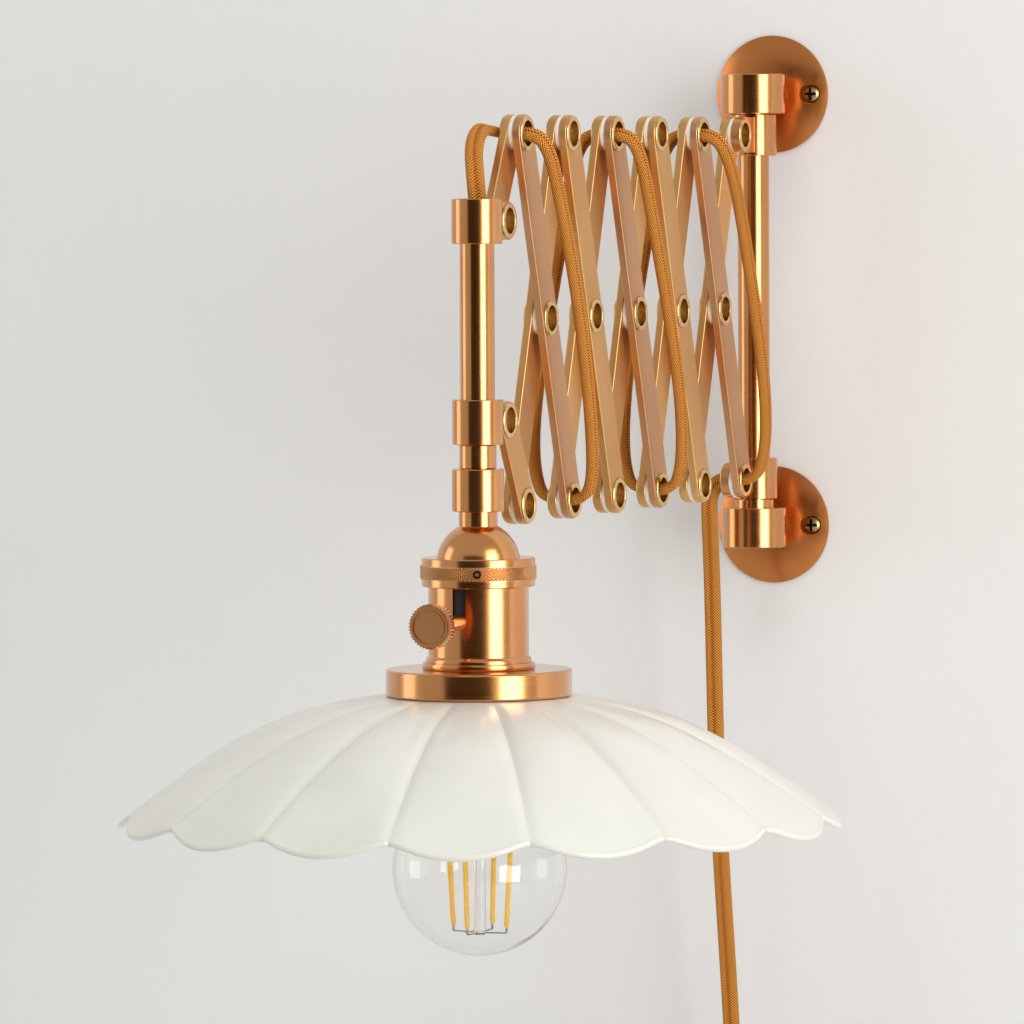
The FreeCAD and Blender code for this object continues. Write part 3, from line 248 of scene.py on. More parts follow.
def flat_section(width, thickness):
    """Two wires side by side under one braid: a flat oval with a shallow waist."""
    outline = []
    for step in range(SECTION_POINTS):
        angle = math.tau * step / SECTION_POINTS
        across = width / 2 * math.copysign(abs(math.cos(angle)) ** SECTION_FULLNESS, math.cos(angle))
        waist = 1 - WAIST_DEPTH * math.exp(-(across / (width * WAIST_WIDTH)) ** 2)
        outline.append((across, thickness / 2 * math.sin(angle) * waist))
    return outline


def sweep_flat(name, line, width_way, outline):
    """A closed strip with the outline carried along the line. It never twists on its own, and its map
    has the way round as U and the way along as V, both in turns of the outline's girth."""
    girth = 2 * (CORD_WIDTH + CORD_THICKNESS)
    rings, lengths, travelled = [], [], 0.0
    across = width_way.normalized()
    previous = (line[1] - line[0]).normalized()
    for number, point in enumerate(line):
        behind = line[max(number - 1, 0)]
        ahead = line[min(number + 1, len(line) - 1)]
        along = (ahead - behind).normalized()
        across = previous.rotation_difference(along) @ across
        across = (across - along * across.dot(along)).normalized()
        previous = along
        thick = along.cross(across)
        travelled += (point - behind).length
        rings.append([point + across * a + thick * b for a, b in outline])
        lengths.append(travelled / girth)
    count = len(outline)
    vertices = [corner for ring in rings for corner in ring]
    faces = []
    for ring in range(len(rings) - 1):
        for step in range(count):
            following = (step + 1) % count
            faces.append((ring * count + step, ring * count + following,
                          (ring + 1) * count + following, (ring + 1) * count + step))
    faces.append(tuple(reversed(range(count))))
    faces.append(tuple(range((len(rings) - 1) * count, len(rings) * count)))
    mesh = bpy.data.meshes.new(name)
    mesh.from_pydata(vertices, [], faces)
    map_layer = mesh.uv_layers.new(name="braid")
    for polygon in mesh.polygons:
        for order, loop in enumerate(polygon.loop_indices):
            ring, step = divmod(polygon.vertices[order], count)
            wraps = polygon.index < len(faces) - 2 and order in (1, 2) and step == 0
            map_layer.data[loop].uv = ((count if wraps else step) / count, lengths[ring])
    piece = bpy.data.objects.new(name, mesh)
    bpy.context.scene.collection.objects.link(piece)
    mesh.polygons.foreach_set("use_smooth", [True] * len(mesh.polygons))
    return piece


def length_of(line):
    return sum((after - before).length for before, after in zip(line, line[1:]))


OUTLINE = flat_section(CORD_WIDTH, CORD_THICKNESS)
print("section of", len(OUTLINE), "points")

# %% [markdown]
# ## Five spans
# Spans 1, 3 and 5 lie on the right of right bars, 2 and 4 on the left of left bars. Each rides on the
# bar that it lies beside, so it moves with the arm. Their flat side looks a little to the front, so
# that both wires show.

# %% The spans
EXIT_WAY = Vector((1, 0, 0))
CORD_ROLL = math.radians(6)
cord_pieces = []
for number in range(1, BAR_PAIRS + 1):
    points = span_points(number)
    line = line_along(f"span_line_{number}", points)
    run = (points[-1] - points[0]).normalized()
    side = RIGHT if number % 2 else LEFT
    width_way = run.cross(EXIT_WAY) * math.cos(CORD_ROLL) + run * side * math.sin(CORD_ROLL)
    span = sweep_flat(f"braided_span_{number}", line, width_way, OUTLINE)
    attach(span, ("right_" if number % 2 else "left_") + str(number))
    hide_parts(f"cord_span_{number}")
    cord_pieces.append(span)
    print(span.name, "length", round(length_of(line), 4))

# %% [markdown]
# ## The lamp's end of the cord
# One end sits in the outermost pivot, which the upper link carries, and the other in the lamp rod. A
# loop that rode on one of them would be left behind by the other, so it is attached to neither.

# %% The lamp's end of the cord
pivot = top_pivot(1)
points = [pivot + Vector(offset) * MM for offset in LAMP_CORD_ROUTE]
line = line_along("lamp_line", points)
lamp_end = sweep_flat("braided_lamp_end", line, Vector((0, 1, 0)), OUTLINE)
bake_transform(lamp_end)
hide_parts("lamp_cord")
cord_pieces.append(lamp_end)
print("lamp end length", round(length_of(line), 4))

# %% [markdown]
# ## The supply
# The supply hangs from the lowest wall pivot, runs into the coil and ends in the plug. It could be
# three pieces, but a cord has no joints, so one line passes through all of its points. It rides on the
# sliding collar, which holds it up.

# %% The supply with its coil
PLUG_LEAD = 8 * MM
low, high = (Vector(corner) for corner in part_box("cord_coil"))
coil_middle = (low + high) / 2
coil_outer = (high.y - low.y) / 2
coil_mid_radius = coil_outer - CORD_WIDTH * TURNS_ACROSS / 2
pivot = bottom_pivot(BAR_PAIRS + 1)
points = [pivot + Vector(offset) * MM for offset in SUPPLY_ROUTE]
plug_low, plug_high = (Vector(corner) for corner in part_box("plug"))
plug_top = Vector(((plug_low.x + plug_high.x) / 2, (plug_low.y + plug_high.y) / 2, plug_high.z))
points += coil_points(coil_middle, coil_mid_radius) + [plug_top + Vector((0, 0, PLUG_LEAD)), plug_top]
line = line_along("supply_line", points)
supply = sweep_flat("braided_supply", line, Vector((0, 0, 1)), OUTLINE)
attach(supply, "lower_slide")
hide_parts("supply_cord", "cord_coil")
supply_exit = points[0].copy()
cord_pieces.append(supply)
print("supply length", round(length_of(line), 4))

# %% [markdown]
# ## Colours and a way to add nodes
# Colours are written as a paint shop would, in hexadecimal, and one function turns them into the linear
# light that the shaders work in. One small function adds a node with its settings and links, so that
# each finish below reads as a short recipe. The scale of a pattern is so many grains or lines to the
# millimetre.

# %% Material helpers
def linear(code, alpha=1.0):
    """An sRGB hexadecimal colour as linear red, green, blue and alpha."""
    channels = [int(code[place:place + 2], 16) / 255 for place in (1, 3, 5)]
    return tuple(c / 12.92 if c <= 0.04045 else ((c + 0.055) / 1.055) ** 2.4 for c in channels) + (alpha,)


def add_node(tree, kind, sockets=None, stops=(), **settings):
    """Adds a node. A socket's value is a number, a colour, or another node's output to link from. Stops are
    the (place, colour) pairs of a colour ramp."""
    made = tree.nodes.new(kind)
    for name, value in settings.items():
        setattr(made, name, value)
    for name, value in (sockets or {}).items():
        if isinstance(value, bpy.types.NodeSocket):
            tree.links.new(value, made.inputs[name])
        else:
            made.inputs[name].default_value = value
    while stops and len(made.color_ramp.elements) < len(stops):
        made.color_ramp.elements.new(0.5)
    for number, (place, colour) in enumerate(stops):
        made.color_ramp.elements[number].position = place
        made.color_ramp.elements[number].color = linear(colour)
    return made


def new_finish(name, **sockets):
    """A material with one Principled shader, whose fixed values are set on its own sockets."""
    finish = bpy.data.materials.new(name)
    finish.use_nodes = True
    tree = finish.node_tree
    shader = tree.nodes["Principled BSDF"]
    for socket, value in sockets.items():
        shader.inputs[socket.replace("_", " ")].default_value = value
    return finish, tree, shader


print("mid grey is", round(linear("#808080")[0], 3), "in linear light")

# %% [markdown]
# ## Brushed copper
# The round metal parts are brass tube and bar, copper plated and brushed on a lathe under clear
# lacquer. The brushing leaves fine rings round each part, so highlights spread along it and the edges
# stay soft. The rings could be modelled or painted. Here a noise that is squeezed along the turning
# axis drives the roughness and a very small bump, which follows any turned part whose axis is known.
# The lacquer is a thin clear coat. It keeps the brightest stripes cream, where bare copper would turn
# them orange. The wall plates are spun from sheet and lightly blasted, so their shine is wider and
# their copper deeper.

# %% Copper finishes
COPPER = "#D69351"
COPPER_DARK = "#C88443"
CLOUDS_PER_MM = 0.03


def turned_copper(name, lines_per_mm, roughness=0.2, light=COPPER, dark=COPPER_DARK, line_height=0.004 * MM,
                  lacquer=0.7):
    """lines_per_mm is how fine the brush lines are along X, Y and Z."""
    finish, tree, shader = new_finish(name, Metallic=1.0, Coat_Weight=lacquer, Coat_Roughness=0.14,
                                      Coat_IOR=1.65)
    where = add_node(tree, "ShaderNodeTexCoord").outputs["Object"]
    squeezed = add_node(tree, "ShaderNodeMapping", {"Vector": where, "Scale": lines_per_mm})
    lines = add_node(tree, "ShaderNodeTexNoise", {"Vector": squeezed.outputs["Vector"], "Scale": 1 / MM,
                                                  "Detail": 3.0, "Roughness": 0.6}).outputs["Fac"]
    cloud = add_node(tree, "ShaderNodeTexNoise", {"Vector": where, "Scale": CLOUDS_PER_MM / MM,
                                                  "Detail": 2.0}).outputs["Fac"]
    colour = add_node(tree, "ShaderNodeValToRGB", {"Fac": cloud}, stops=[(0.3, dark), (0.7, light)])
    tree.links.new(colour.outputs["Color"], shader.inputs["Base Color"])
    rough = add_node(tree, "ShaderNodeMapRange", {"Value": lines, "From Min": 0.3, "From Max": 0.7,
                                                  "To Min": roughness - 0.04, "To Max": roughness + 0.05})
    tree.links.new(rough.outputs["Result"], shader.inputs["Roughness"])
    relief = add_node(tree, "ShaderNodeBump", {"Height": lines, "Distance": line_height})
    tree.links.new(relief.outputs["Normal"], shader.inputs["Normal"])
    return finish


upright_copper = turned_copper("brushed_copper_upright_turning", (0.012, 0.012, 3.2))
facing_copper = turned_copper("spun_copper_wall_plate", (0.22, 0.22, 0.22), roughness=0.32, light="#C97E42",
                              dark="#BF763B", line_height=0.0004 * MM, lacquer=0.2)
knob_copper = turned_copper("brushed_copper_knob", (0.7, 0.06, 0.7), roughness=0.3)
# The cuts of the knurling mirror each other, which reddens copper, so its colour is painted paler to make
# up for it.
knurled_copper = turned_copper("knurled_copper", (0.02, 0.02, 2.2), roughness=0.3, light="#D4A876",
                               dark="#C69965")
print("copper finishes:", upright_copper.name, facing_copper.name, knob_copper.name, knurled_copper.name)

# %% [markdown]
# ## Satin copper bars
# The bars are punched from flat strip, tumbled so that their edges go soft, then plated in the same copper.
# Tumbling leaves no direction, only a fine satin, so their faces look paler and more even than the tubes.
# They come from two plating batches, one golden and one rosier, so one recipe is used with two pairs of
# colours.

# %% Bar finish
def satin_copper(name, light, dark):
    """A fine satin without a direction, with wide faint clouds from the plating bath."""
    finish, tree, shader = new_finish(name, Metallic=1.0)
    where = add_node(tree, "ShaderNodeTexCoord").outputs["Object"]
    grain = add_node(tree, "ShaderNodeTexNoise", {"Vector": where, "Scale": 0.9 / MM,
                                                  "Detail": 4.0}).outputs["Fac"]
    cloud = add_node(tree, "ShaderNodeTexNoise", {"Vector": where, "Scale": 0.022 / MM,
                                                  "Detail": 2.0}).outputs["Fac"]
    colour = add_node(tree, "ShaderNodeValToRGB", {"Fac": cloud}, stops=[(0.3, dark), (0.7, light)])
    tree.links.new(colour.outputs["Color"], shader.inputs["Base Color"])
    rough = add_node(tree, "ShaderNodeMapRange", {"Value": grain, "To Min": 0.3, "To Max": 0.42})
    tree.links.new(rough.outputs["Result"], shader.inputs["Roughness"])
    relief = add_node(tree, "ShaderNodeBump", {"Height": grain, "Distance": 0.012 * MM})
    tree.links.new(relief.outputs["Normal"], shader.inputs["Normal"])
    return finish


golden_bar = satin_copper("satin_copper_strip_golden", "#DBAA6D", "#D09C61")
rosy_bar = satin_copper("satin_copper_strip_rosy", "#D09E73", "#C59266")
print("bar finishes:", golden_bar.name, rosy_bar.name)

# %% [markdown]
# ## Small metal parts
# Eyelets, screws, the bulb's cap and its wires are tumbled or rolled, and too small to show how they were
# brushed. One recipe with a light and a dark colour and a roughness is enough for all of them.

# %% Small metal finishes
def plain_metal(name, light, dark, roughness):
    """Tumbled or rolled metal with a little unevenness in its colour and shine."""
    finish, tree, shader = new_finish(name, Metallic=1.0)
    where = add_node(tree, "ShaderNodeTexCoord").outputs["Object"]
    grain = add_node(tree, "ShaderNodeTexNoise", {"Vector": where, "Scale": 0.5 / MM,
                                                  "Detail": 3.0}).outputs["Fac"]
    colour = add_node(tree, "ShaderNodeValToRGB", {"Fac": grain}, stops=[(0.3, dark), (0.7, light)])
    tree.links.new(colour.outputs["Color"], shader.inputs["Base Color"])
    rough = add_node(tree, "ShaderNodeMapRange", {"Value": grain, "To Min": roughness - 0.06,
                                                  "To Max": roughness + 0.06})
    tree.links.new(rough.outputs["Result"], shader.inputs["Roughness"])
    return finish


# The bores mirror themselves many times over, so their deeper gold is a painted reflection.
bore_painted_reflection = plain_metal("eyelet_bore_painted_reflection", "#DDBA7C", "#C49C60", 0.22)
# The rolled flanges are painted paler, a painted highlight for the pale, thin ring of light they catch.
flange_painted_highlight = plain_metal("eyelet_flange_painted_highlight", "#E6C28C", "#D4AA6C", 0.22)
# Unlacquered brass has dulled to a greenish grey, which sets the screws off from the plates.
screw_finish = plain_metal("dull_brass_screw", "#B5A478", "#8C7D55", 0.34)
# Painted shade in the cross makes it read as a dark cut.
cross_painted_shade = plain_metal("painted_shade_in_the_cross", "#2E291C", "#1C1912", 0.6)
# Blackened steel is nearly black with a soft blue shine.
grub_finish = plain_metal("black_oxide_steel", "#2B2C30", "#1D1E21", 0.35)
# The bulb's cap is pale yellow brass, seen only from below.
cap_finish = plain_metal("plain_lamp_brass", "#CDB57A", "#B39A5E", 0.3)
# Nickel wires look like thin grey lines beside the yellow filaments.
wire_finish = plain_metal("nickel_support_wire", "#A9A9A6", "#8A8A86", 0.3)
print("small metal finishes: 7")

# %% [markdown]
# ## Moulded plastic
# The washers, the socket's insert, the plug and the cord's tie are moulded. A mould leaves a fine, even
# skin: a faint mottle in the colour and a tiny bump that breaks the shine up.

# %% Plastic finishes
def moulded(name, colour, speckle, roughness):
    """Moulded plastic: an even colour, a faint mottle and the fine skin of the mould."""
    finish, tree, shader = new_finish(name, IOR=1.5)
    where = add_node(tree, "ShaderNodeTexCoord").outputs["Object"]
    skin = add_node(tree, "ShaderNodeTexNoise", {"Vector": where, "Scale": 1.4 / MM,
                                                 "Detail": 2.0}).outputs["Fac"]
    mottle = add_node(tree, "ShaderNodeValToRGB", {"Fac": skin}, stops=[(0.35, speckle), (0.65, colour)])
    tree.links.new(mottle.outputs["Color"], shader.inputs["Base Color"])
    rough = add_node(tree, "ShaderNodeMapRange", {"Value": skin, "To Min": roughness - 0.05,
                                                  "To Max": roughness + 0.05})
    tree.links.new(rough.outputs["Result"], shader.inputs["Roughness"])
    relief = add_node(tree, "ShaderNodeBump", {"Height": skin, "Distance": 0.02 * MM})
    tree.links.new(relief.outputs["Normal"], shader.inputs["Normal"])
    return finish


# The washers show as thin white lines between the two layers of bars.
washer_finish = moulded("natural_nylon_washer", "#F1EBE2", "#E6DFD4", 0.45)
# The insert is the black that shows through the shell's slot.
insert_finish = moulded("black_phenolic_insert", "#1E1C1B", "#161514", 0.42)
# The plug is dark brown, to go with the cord, and the tie is a matt black.
plug_finish = moulded("brown_thermoplastic_plug", "#35281F", "#2C211A", 0.45)
tie_finish = moulded("black_cord_tie", "#26221F", "#1C1917", 0.6)
print("plastic finishes: 4")

# %% [markdown]
# ## Cotton braid
# The cord is covered by a braid of amber cotton. Two sets of threads wind round it in opposite ways and
# pass over and under each other, so the surface is a mesh of little diamonds, matt and a little fuzzy.
# Modelling each thread would take millions of faces. The cord's own map makes it simple: one wave leans
# one way round the cord, one the other way, and where the two crests meet a thread stands out.

# %% Braid finish
# Real braid has about forty fine carriers; fewer and wider ones still show at this distance.
THREADS_ROUND = 15
THREAD_LEAN = 1.35
THREAD_HEIGHT = 0.6 * MM


def cotton_braid():
    """Threads that lean both ways round the cord, drawn on its own map."""
    finish, tree, shader = new_finish("amber_cotton_braid", Roughness=0.75, Specular_IOR_Level=0.2)
    where = add_node(tree, "ShaderNodeTexCoord").outputs["Object"]
    on_cord = add_node(tree, "ShaderNodeUVMap", uv_map="braid").outputs["UV"]
    parts = add_node(tree, "ShaderNodeSeparateXYZ", {"Vector": on_cord})
    turned = add_node(tree, "ShaderNodeMath", {0: parts.outputs["X"], 1: math.pi * THREADS_ROUND},
                      operation="MULTIPLY").outputs[0]
    waves = []
    for lean in (THREAD_LEAN, -THREAD_LEAN):
        place = add_node(tree, "ShaderNodeMath", {0: parts.outputs["Y"], 1: lean * math.pi * THREADS_ROUND,
                                                  2: turned}, operation="MULTIPLY_ADD").outputs[0]
        waves.append(add_node(tree, "ShaderNodeMath", {0: place}, operation="SINE").outputs[0])
    crossing = add_node(tree, "ShaderNodeMath", {0: waves[0], 1: waves[1]}, operation="MULTIPLY").outputs[0]
    first_on_top = add_node(tree, "ShaderNodeMath", {0: crossing, 1: 0.0},
                            operation="GREATER_THAN").outputs[0]
    crests = [add_node(tree, "ShaderNodeMath", {0: wave}, operation="ABSOLUTE").outputs[0]
              for wave in waves]
    weave = add_node(tree, "ShaderNodeMix", {"Factor": first_on_top, 2: crests[1], 3: crests[0]},
                     data_type="FLOAT").outputs[0]
    fuzz = add_node(tree, "ShaderNodeTexNoise", {"Vector": where, "Scale": 1.6 / MM,
                                                 "Detail": 2.0}).outputs["Fac"]
    lit = add_node(tree, "ShaderNodeMath", {0: fuzz, 1: 0.3, 2: weave}, operation="MULTIPLY_ADD").outputs[0]
    # Painted shade darkens the groove between the two wires.
    round_way = add_node(tree, "ShaderNodeMath", {0: parts.outputs["X"], 1: math.tau},
                         operation="MULTIPLY").outputs[0]
    across = add_node(tree, "ShaderNodeMath", {0: round_way}, operation="COSINE").outputs[0]
    beside = add_node(tree, "ShaderNodeMath", {0: across}, operation="ABSOLUTE").outputs[0]
    out_of_groove = add_node(tree, "ShaderNodeMapRange", {"Value": beside, "From Max": 0.3, "To Min": 0.7})
    shade = add_node(tree, "ShaderNodeMath", {0: lit, 1: out_of_groove.outputs["Result"]},
                     operation="MULTIPLY").outputs[0]
    # The ramp paints the thread crests lighter as a painted highlight and the gaps between threads darker
    # as painted shade.
    amber = add_node(tree, "ShaderNodeValToRGB", {"Fac": shade},
                     stops=[(0.2, "#361302"), (0.5, "#A54F0B"), (0.8, "#E78323"), (1.0, "#FDB050")])
    tree.links.new(amber.outputs["Color"], shader.inputs["Base Color"])
    relief = add_node(tree, "ShaderNodeBump", {"Height": weave, "Distance": THREAD_HEIGHT})
    tree.links.new(relief.outputs["Normal"], shader.inputs["Normal"])
    return finish


braid = cotton_braid()
for piece in cord_pieces:
    piece.data.materials.append(braid)
print("braid on", len(cord_pieces), "lengths of cord")

# %% [markdown]
# ## Enamel
# The dish is pressed steel with a fired coat of off-white enamel, smooth and glossy but never quite
# flat, since the melted glass pools a little. A gentle, wide bump gives it that look.

# %% Enamel finish
def fired_enamel():
    """Off-white glass on steel. Its pools are about thirty millimetres wide."""
    finish, tree, shader = new_finish("off_white_fired_enamel", IOR=1.52, Coat_Weight=0.25,
                                      Coat_Roughness=0.12)
    where = add_node(tree, "ShaderNodeTexCoord").outputs["Object"]
    pool = add_node(tree, "ShaderNodeTexNoise", {"Vector": where, "Scale": 0.035 / MM,
                                                 "Detail": 2.0}).outputs["Fac"]
    colour = add_node(tree, "ShaderNodeValToRGB", {"Fac": pool}, stops=[(0.3, "#E1E0D5"), (0.7, "#E6E5DC")])
    tree.links.new(colour.outputs["Color"], shader.inputs["Base Color"])
    rough = add_node(tree, "ShaderNodeMapRange", {"Value": pool, "To Min": 0.26, "To Max": 0.34})
    tree.links.new(rough.outputs["Result"], shader.inputs["Roughness"])
    relief = add_node(tree, "ShaderNodeBump", {"Height": pool, "Distance": 0.1 * MM, "Strength": 0.5})
    tree.links.new(relief.outputs["Normal"], shader.inputs["Normal"])
    return finish


enamel = fired_enamel()
print("enamel:", enamel.name)

# %% [markdown]
# ## Glass and filaments
# The globe is thin clear glass, so it is a real shell with an inside and an outside, and light bends as
# it does in the real bulb. The filaments are yellow coated strips on nickel wires round a glass stem.
# They are given a faint painted glow, though the bulb is off.

# %% Glass and filament finishes
def clear_glass():
    """Clear glass whose colour is all but white, with very faint streaks from the drawing of the tube."""
    finish, tree, shader = new_finish("clear_soda_glass", Roughness=0.0, IOR=1.45,
                                      Transmission_Weight=1.0)
    where = add_node(tree, "ShaderNodeTexCoord").outputs["Object"]
    streak = add_node(tree, "ShaderNodeTexNoise", {"Vector": where, "Scale": 0.025 / MM}).outputs["Fac"]
    colour = add_node(tree, "ShaderNodeValToRGB", {"Fac": streak},
                      stops=[(0.0, "#FCFDFC"), (1.0, "#FFFFFF")])
    tree.links.new(colour.outputs["Color"], shader.inputs["Base Color"])
    return finish


def yellow_coating():
    """A matt yellow powder that lets a little light through, with a faint painted glow, so that the strips
    never look black.
    """
    # The emission in the coating's own colour is a painted glow: the bulb is off.
    finish, tree, shader = new_finish("filament_coating_painted_glow", Roughness=0.55, Subsurface_Weight=0.15,
                                      Subsurface_Radius=(0.6 * MM, 0.4 * MM, 0.2 * MM),
                                      Emission_Strength=0.3)
    where = add_node(tree, "ShaderNodeTexCoord").outputs["Object"]
    grain = add_node(tree, "ShaderNodeTexNoise", {"Vector": where, "Scale": 1.5 / MM}).outputs["Fac"]
    colour = add_node(tree, "ShaderNodeValToRGB", {"Fac": grain},
                      stops=[(0.3, "#F2B53C"), (0.7, "#FBCB58")])
    tree.links.new(colour.outputs["Color"], shader.inputs["Base Color"])
    tree.links.new(colour.outputs["Color"], shader.inputs["Emission Color"])
    return finish


glass = clear_glass()
phosphor = yellow_coating()
print("bulb finishes:", glass.name, phosphor.name)

# %% [markdown]
# ## Dressing the construction model
# Most pieces keep the construction model's own mesh and only need a finish. An eyelet and a screw need
# two, and cutting them up would lose their smooth edges, so each face takes the finish that fits its place
# and the way it looks: an eyelet's flanges get a painted highlight and its bore a painted reflection, and a
# screw's cross gets painted shade.

# %% Dressing the construction model
def dress(finish, *names):
    for name in names:
        mesh = nodes[name].data
        mesh.materials.clear()
        mesh.materials.append(finish)


def dress_eyelets(name):
    """Deeper gold in the bore as painted reflection, paler gold on the flanges as painted highlight, told
    apart by which way a face looks.
    """
    mesh = nodes[name].data
    mesh.materials.clear()
    mesh.materials.append(bore_painted_reflection)
    mesh.materials.append(flange_painted_highlight)
    for polygon in mesh.polygons:
        polygon.material_index = int(abs(polygon.normal.x) > 0.5)


SCREW_HEAD_RADIUS = 4.0 * MM
CROSS_REACH = 2.7 * MM
CROSS_FLOOR = -2.2 * MM
HEAD_BACK = -1.9 * MM


def dress_screws(name):
    """Brass heads, with painted shade inside the cross. Near a screw's axis, the walls of the cross face
    sideways and its floor lies deep."""
    mesh = nodes[name].data
    mesh.materials.clear()
    mesh.materials.append(screw_finish)
    mesh.materials.append(cross_painted_shade)
    corner = Vector(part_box(name)[1])
    axis_x, axis_z = corner.x - SCREW_HEAD_RADIUS, corner.z - SCREW_HEAD_RADIUS
    for polygon in mesh.polygons:
        middle = polygon.center
        near = math.hypot(abs(middle.x) - axis_x, abs(middle.z) - axis_z) < CROSS_REACH
        inside = abs(polygon.normal.y) < 0.5 or middle.y > CROSS_FLOOR
        polygon.material_index = int(near and inside and middle.y < HEAD_BACK)


dress(facing_copper, "upper_wall_plate", "lower_wall_plate")
dress(upright_copper, "upper_rod_holder", "lower_rod_holder", "wall_rod", "upper_wall_collar",
      "lower_wall_collar", "lamp_rod", "upper_lamp_collar", "lower_lamp_collar", "neck_tube",
      "swivel_collar", "socket_cap", "socket_shell", "shade_fitter")
dress(golden_bar, "upper_end_link", "lower_end_link")
for number in range(1, BAR_PAIRS + 1):
    dress(rosy_bar if number % 2 else golden_bar, f"right_bar_{number}")
    dress(golden_bar, f"left_bar_{number}")
    dress_eyelets(f"eyelets_{number}")
    dress(washer_finish, f"washers_{number}")
for name in ("end_link_eyelets", "lamp_eyelets", "wall_eyelets"):
    dress_eyelets(name)
dress(washer_finish, "end_link_washers", "lamp_washers", "wall_washers")
dress_screws("wall_screws")
dress(insert_finish, "socket_insert")
dress(cap_finish, "bulb_cap")
dress(glass, "bulb_glass")
dress(plug_finish, "plug")
print("screws with", len(nodes["wall_screws"].data.polygons), "faces in two finishes")

# %% [markdown]
# ## Modelling helpers
# Turned parts are drawn as one profile and spun round an axis, as a wood turner's template is. A point is
# extruded along the profile first, and the spin tool sweeps it round. The operators act on all that is
# selected, so one helper picks a piece alone, and another finishes it with its place in its mesh.

# %% Modelling helpers
def put_away_selection():
    if bpy.context.object and bpy.context.object.mode != "OBJECT":
        bpy.ops.object.mode_set(mode="OBJECT")
    bpy.ops.object.select_all(action="DESELECT")


def pick(piece):
    put_away_selection()
    piece.select_set(True)
    bpy.context.view_layer.objects.active = piece


def settle(piece, name, finish, body, smooth_angle=40):
    """Names a finished piece, smooths it, and puts its place into its mesh."""
    pick(piece)
    bpy.ops.object.transform_apply(location=True, rotation=True, scale=True)
    bpy.ops.object.shade_smooth_by_angle(angle=math.radians(smooth_angle))
    piece.name = name
    piece.data.name = name
    piece.data.materials.clear()
    piece.data.materials.append(finish)
    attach(piece, body)
    return piece


def outwards(piece):
    """Turns every face of a closed piece to look outwards."""
    pick(piece)
    bpy.ops.object.mode_set(mode="EDIT")
    bpy.ops.mesh.select_all(action="SELECT")
    bpy.ops.mesh.normals_make_consistent(inside=False)
    bpy.ops.object.mode_set(mode="OBJECT")
    return piece


def pull(offset):
    """Extrudes what is selected by an offset."""
    bpy.ops.mesh.extrude_region_move(TRANSFORM_OT_translate={"value": tuple(offset)})


def spun_profile(profile, axis_point, steps, closed=False):
    """Extrudes one point along a (radius, height) profile and spins it about an upright axis. A closed
    profile also joins its last point to its first."""
    put_away_selection()
    first = axis_point + Vector((profile[0][0], 0, profile[0][1]))
    bpy.ops.mesh.primitive_plane_add(size=0.001, location=first)
    piece = bpy.context.object
    bpy.ops.object.mode_set(mode="EDIT")
    bpy.ops.mesh.select_mode(type="VERT")
    bpy.ops.mesh.select_all(action="SELECT")
    bpy.ops.mesh.merge(type="CENTER")
    for before, after in zip(profile, profile[1:]):
        pull((after[0] - before[0], 0, after[1] - before[1]))
    if closed:
        bpy.ops.mesh.select_all(action="SELECT")
        bpy.ops.mesh.edge_face_add()
        bpy.ops.mesh.delete(type="ONLY_FACE")
    bpy.ops.mesh.select_all(action="SELECT")
    bpy.ops.mesh.spin(steps=steps, angle=math.tau, center=axis_point, axis=(0, 0, 1))
    bpy.ops.mesh.select_all(action="SELECT")
    bpy.ops.mesh.remove_doubles(threshold=0.01 * MM)
    bpy.ops.mesh.normals_make_consistent(inside=False)
    bpy.ops.object.mode_set(mode="OBJECT")
    piece.data.transform(Matrix.Translation(piece.location))
    piece.location = (0, 0, 0)
    return piece


rod_low, rod_high = (Vector(corner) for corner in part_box("lamp_rod"))
LAMP_AXIS = Vector((0, (rod_low.y + rod_high.y) / 2, 0))
print("lamp axis at", tuple(round(c, 4) for c in LAMP_AXIS))

# %% [markdown]
# ## The enamel dish
# The shade is one disc of steel, pressed into sixteen petals that puff up a little between sharp
# valleys, with a scalloped edge rolled round a wire. It could be cut from petals and joined. Spinning
# one profile and then lifting each point by a rule for its place in its petal gives sixteen petals that
# match at every valley.

# %% Dish
PETALS = 16
COLUMNS_PER_PETAL = 16
PETAL_TURN = math.radians(-3.0)
SHOULDER_RADIUS = 34.7 * MM
NODE_RADIUS = 135.0 * MM
DISH_HOLE_RADIUS = 16.0 * MM
DISH_DROP = 43.2 * MM
CURVE_POWER = 1.6
SCALLOP = 5.0 * MM
CURL = 1.9 * MM
CURL_POWER = 6
PUFF = 2.4 * MM
GROOVE_DEPTH = 1.2 * MM
GROOVE_WIDTH = 1.8 * MM
WALL = 1.3 * MM
SLOPE_STEPS = 26
dish_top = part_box("shade_fitter")[0][2] - 0.1 * MM


def dish_profile():
    """Radius and height from the hole out to the rim, still flat."""
    flat = [DISH_HOLE_RADIUS, 25 * MM, SHOULDER_RADIUS - 1 * MM]
    slope = [SHOULDER_RADIUS + (NODE_RADIUS - SHOULDER_RADIUS) * step / SLOPE_STEPS
             for step in range(SLOPE_STEPS + 1)]
    return [(radius, 0.0) for radius in flat + slope]


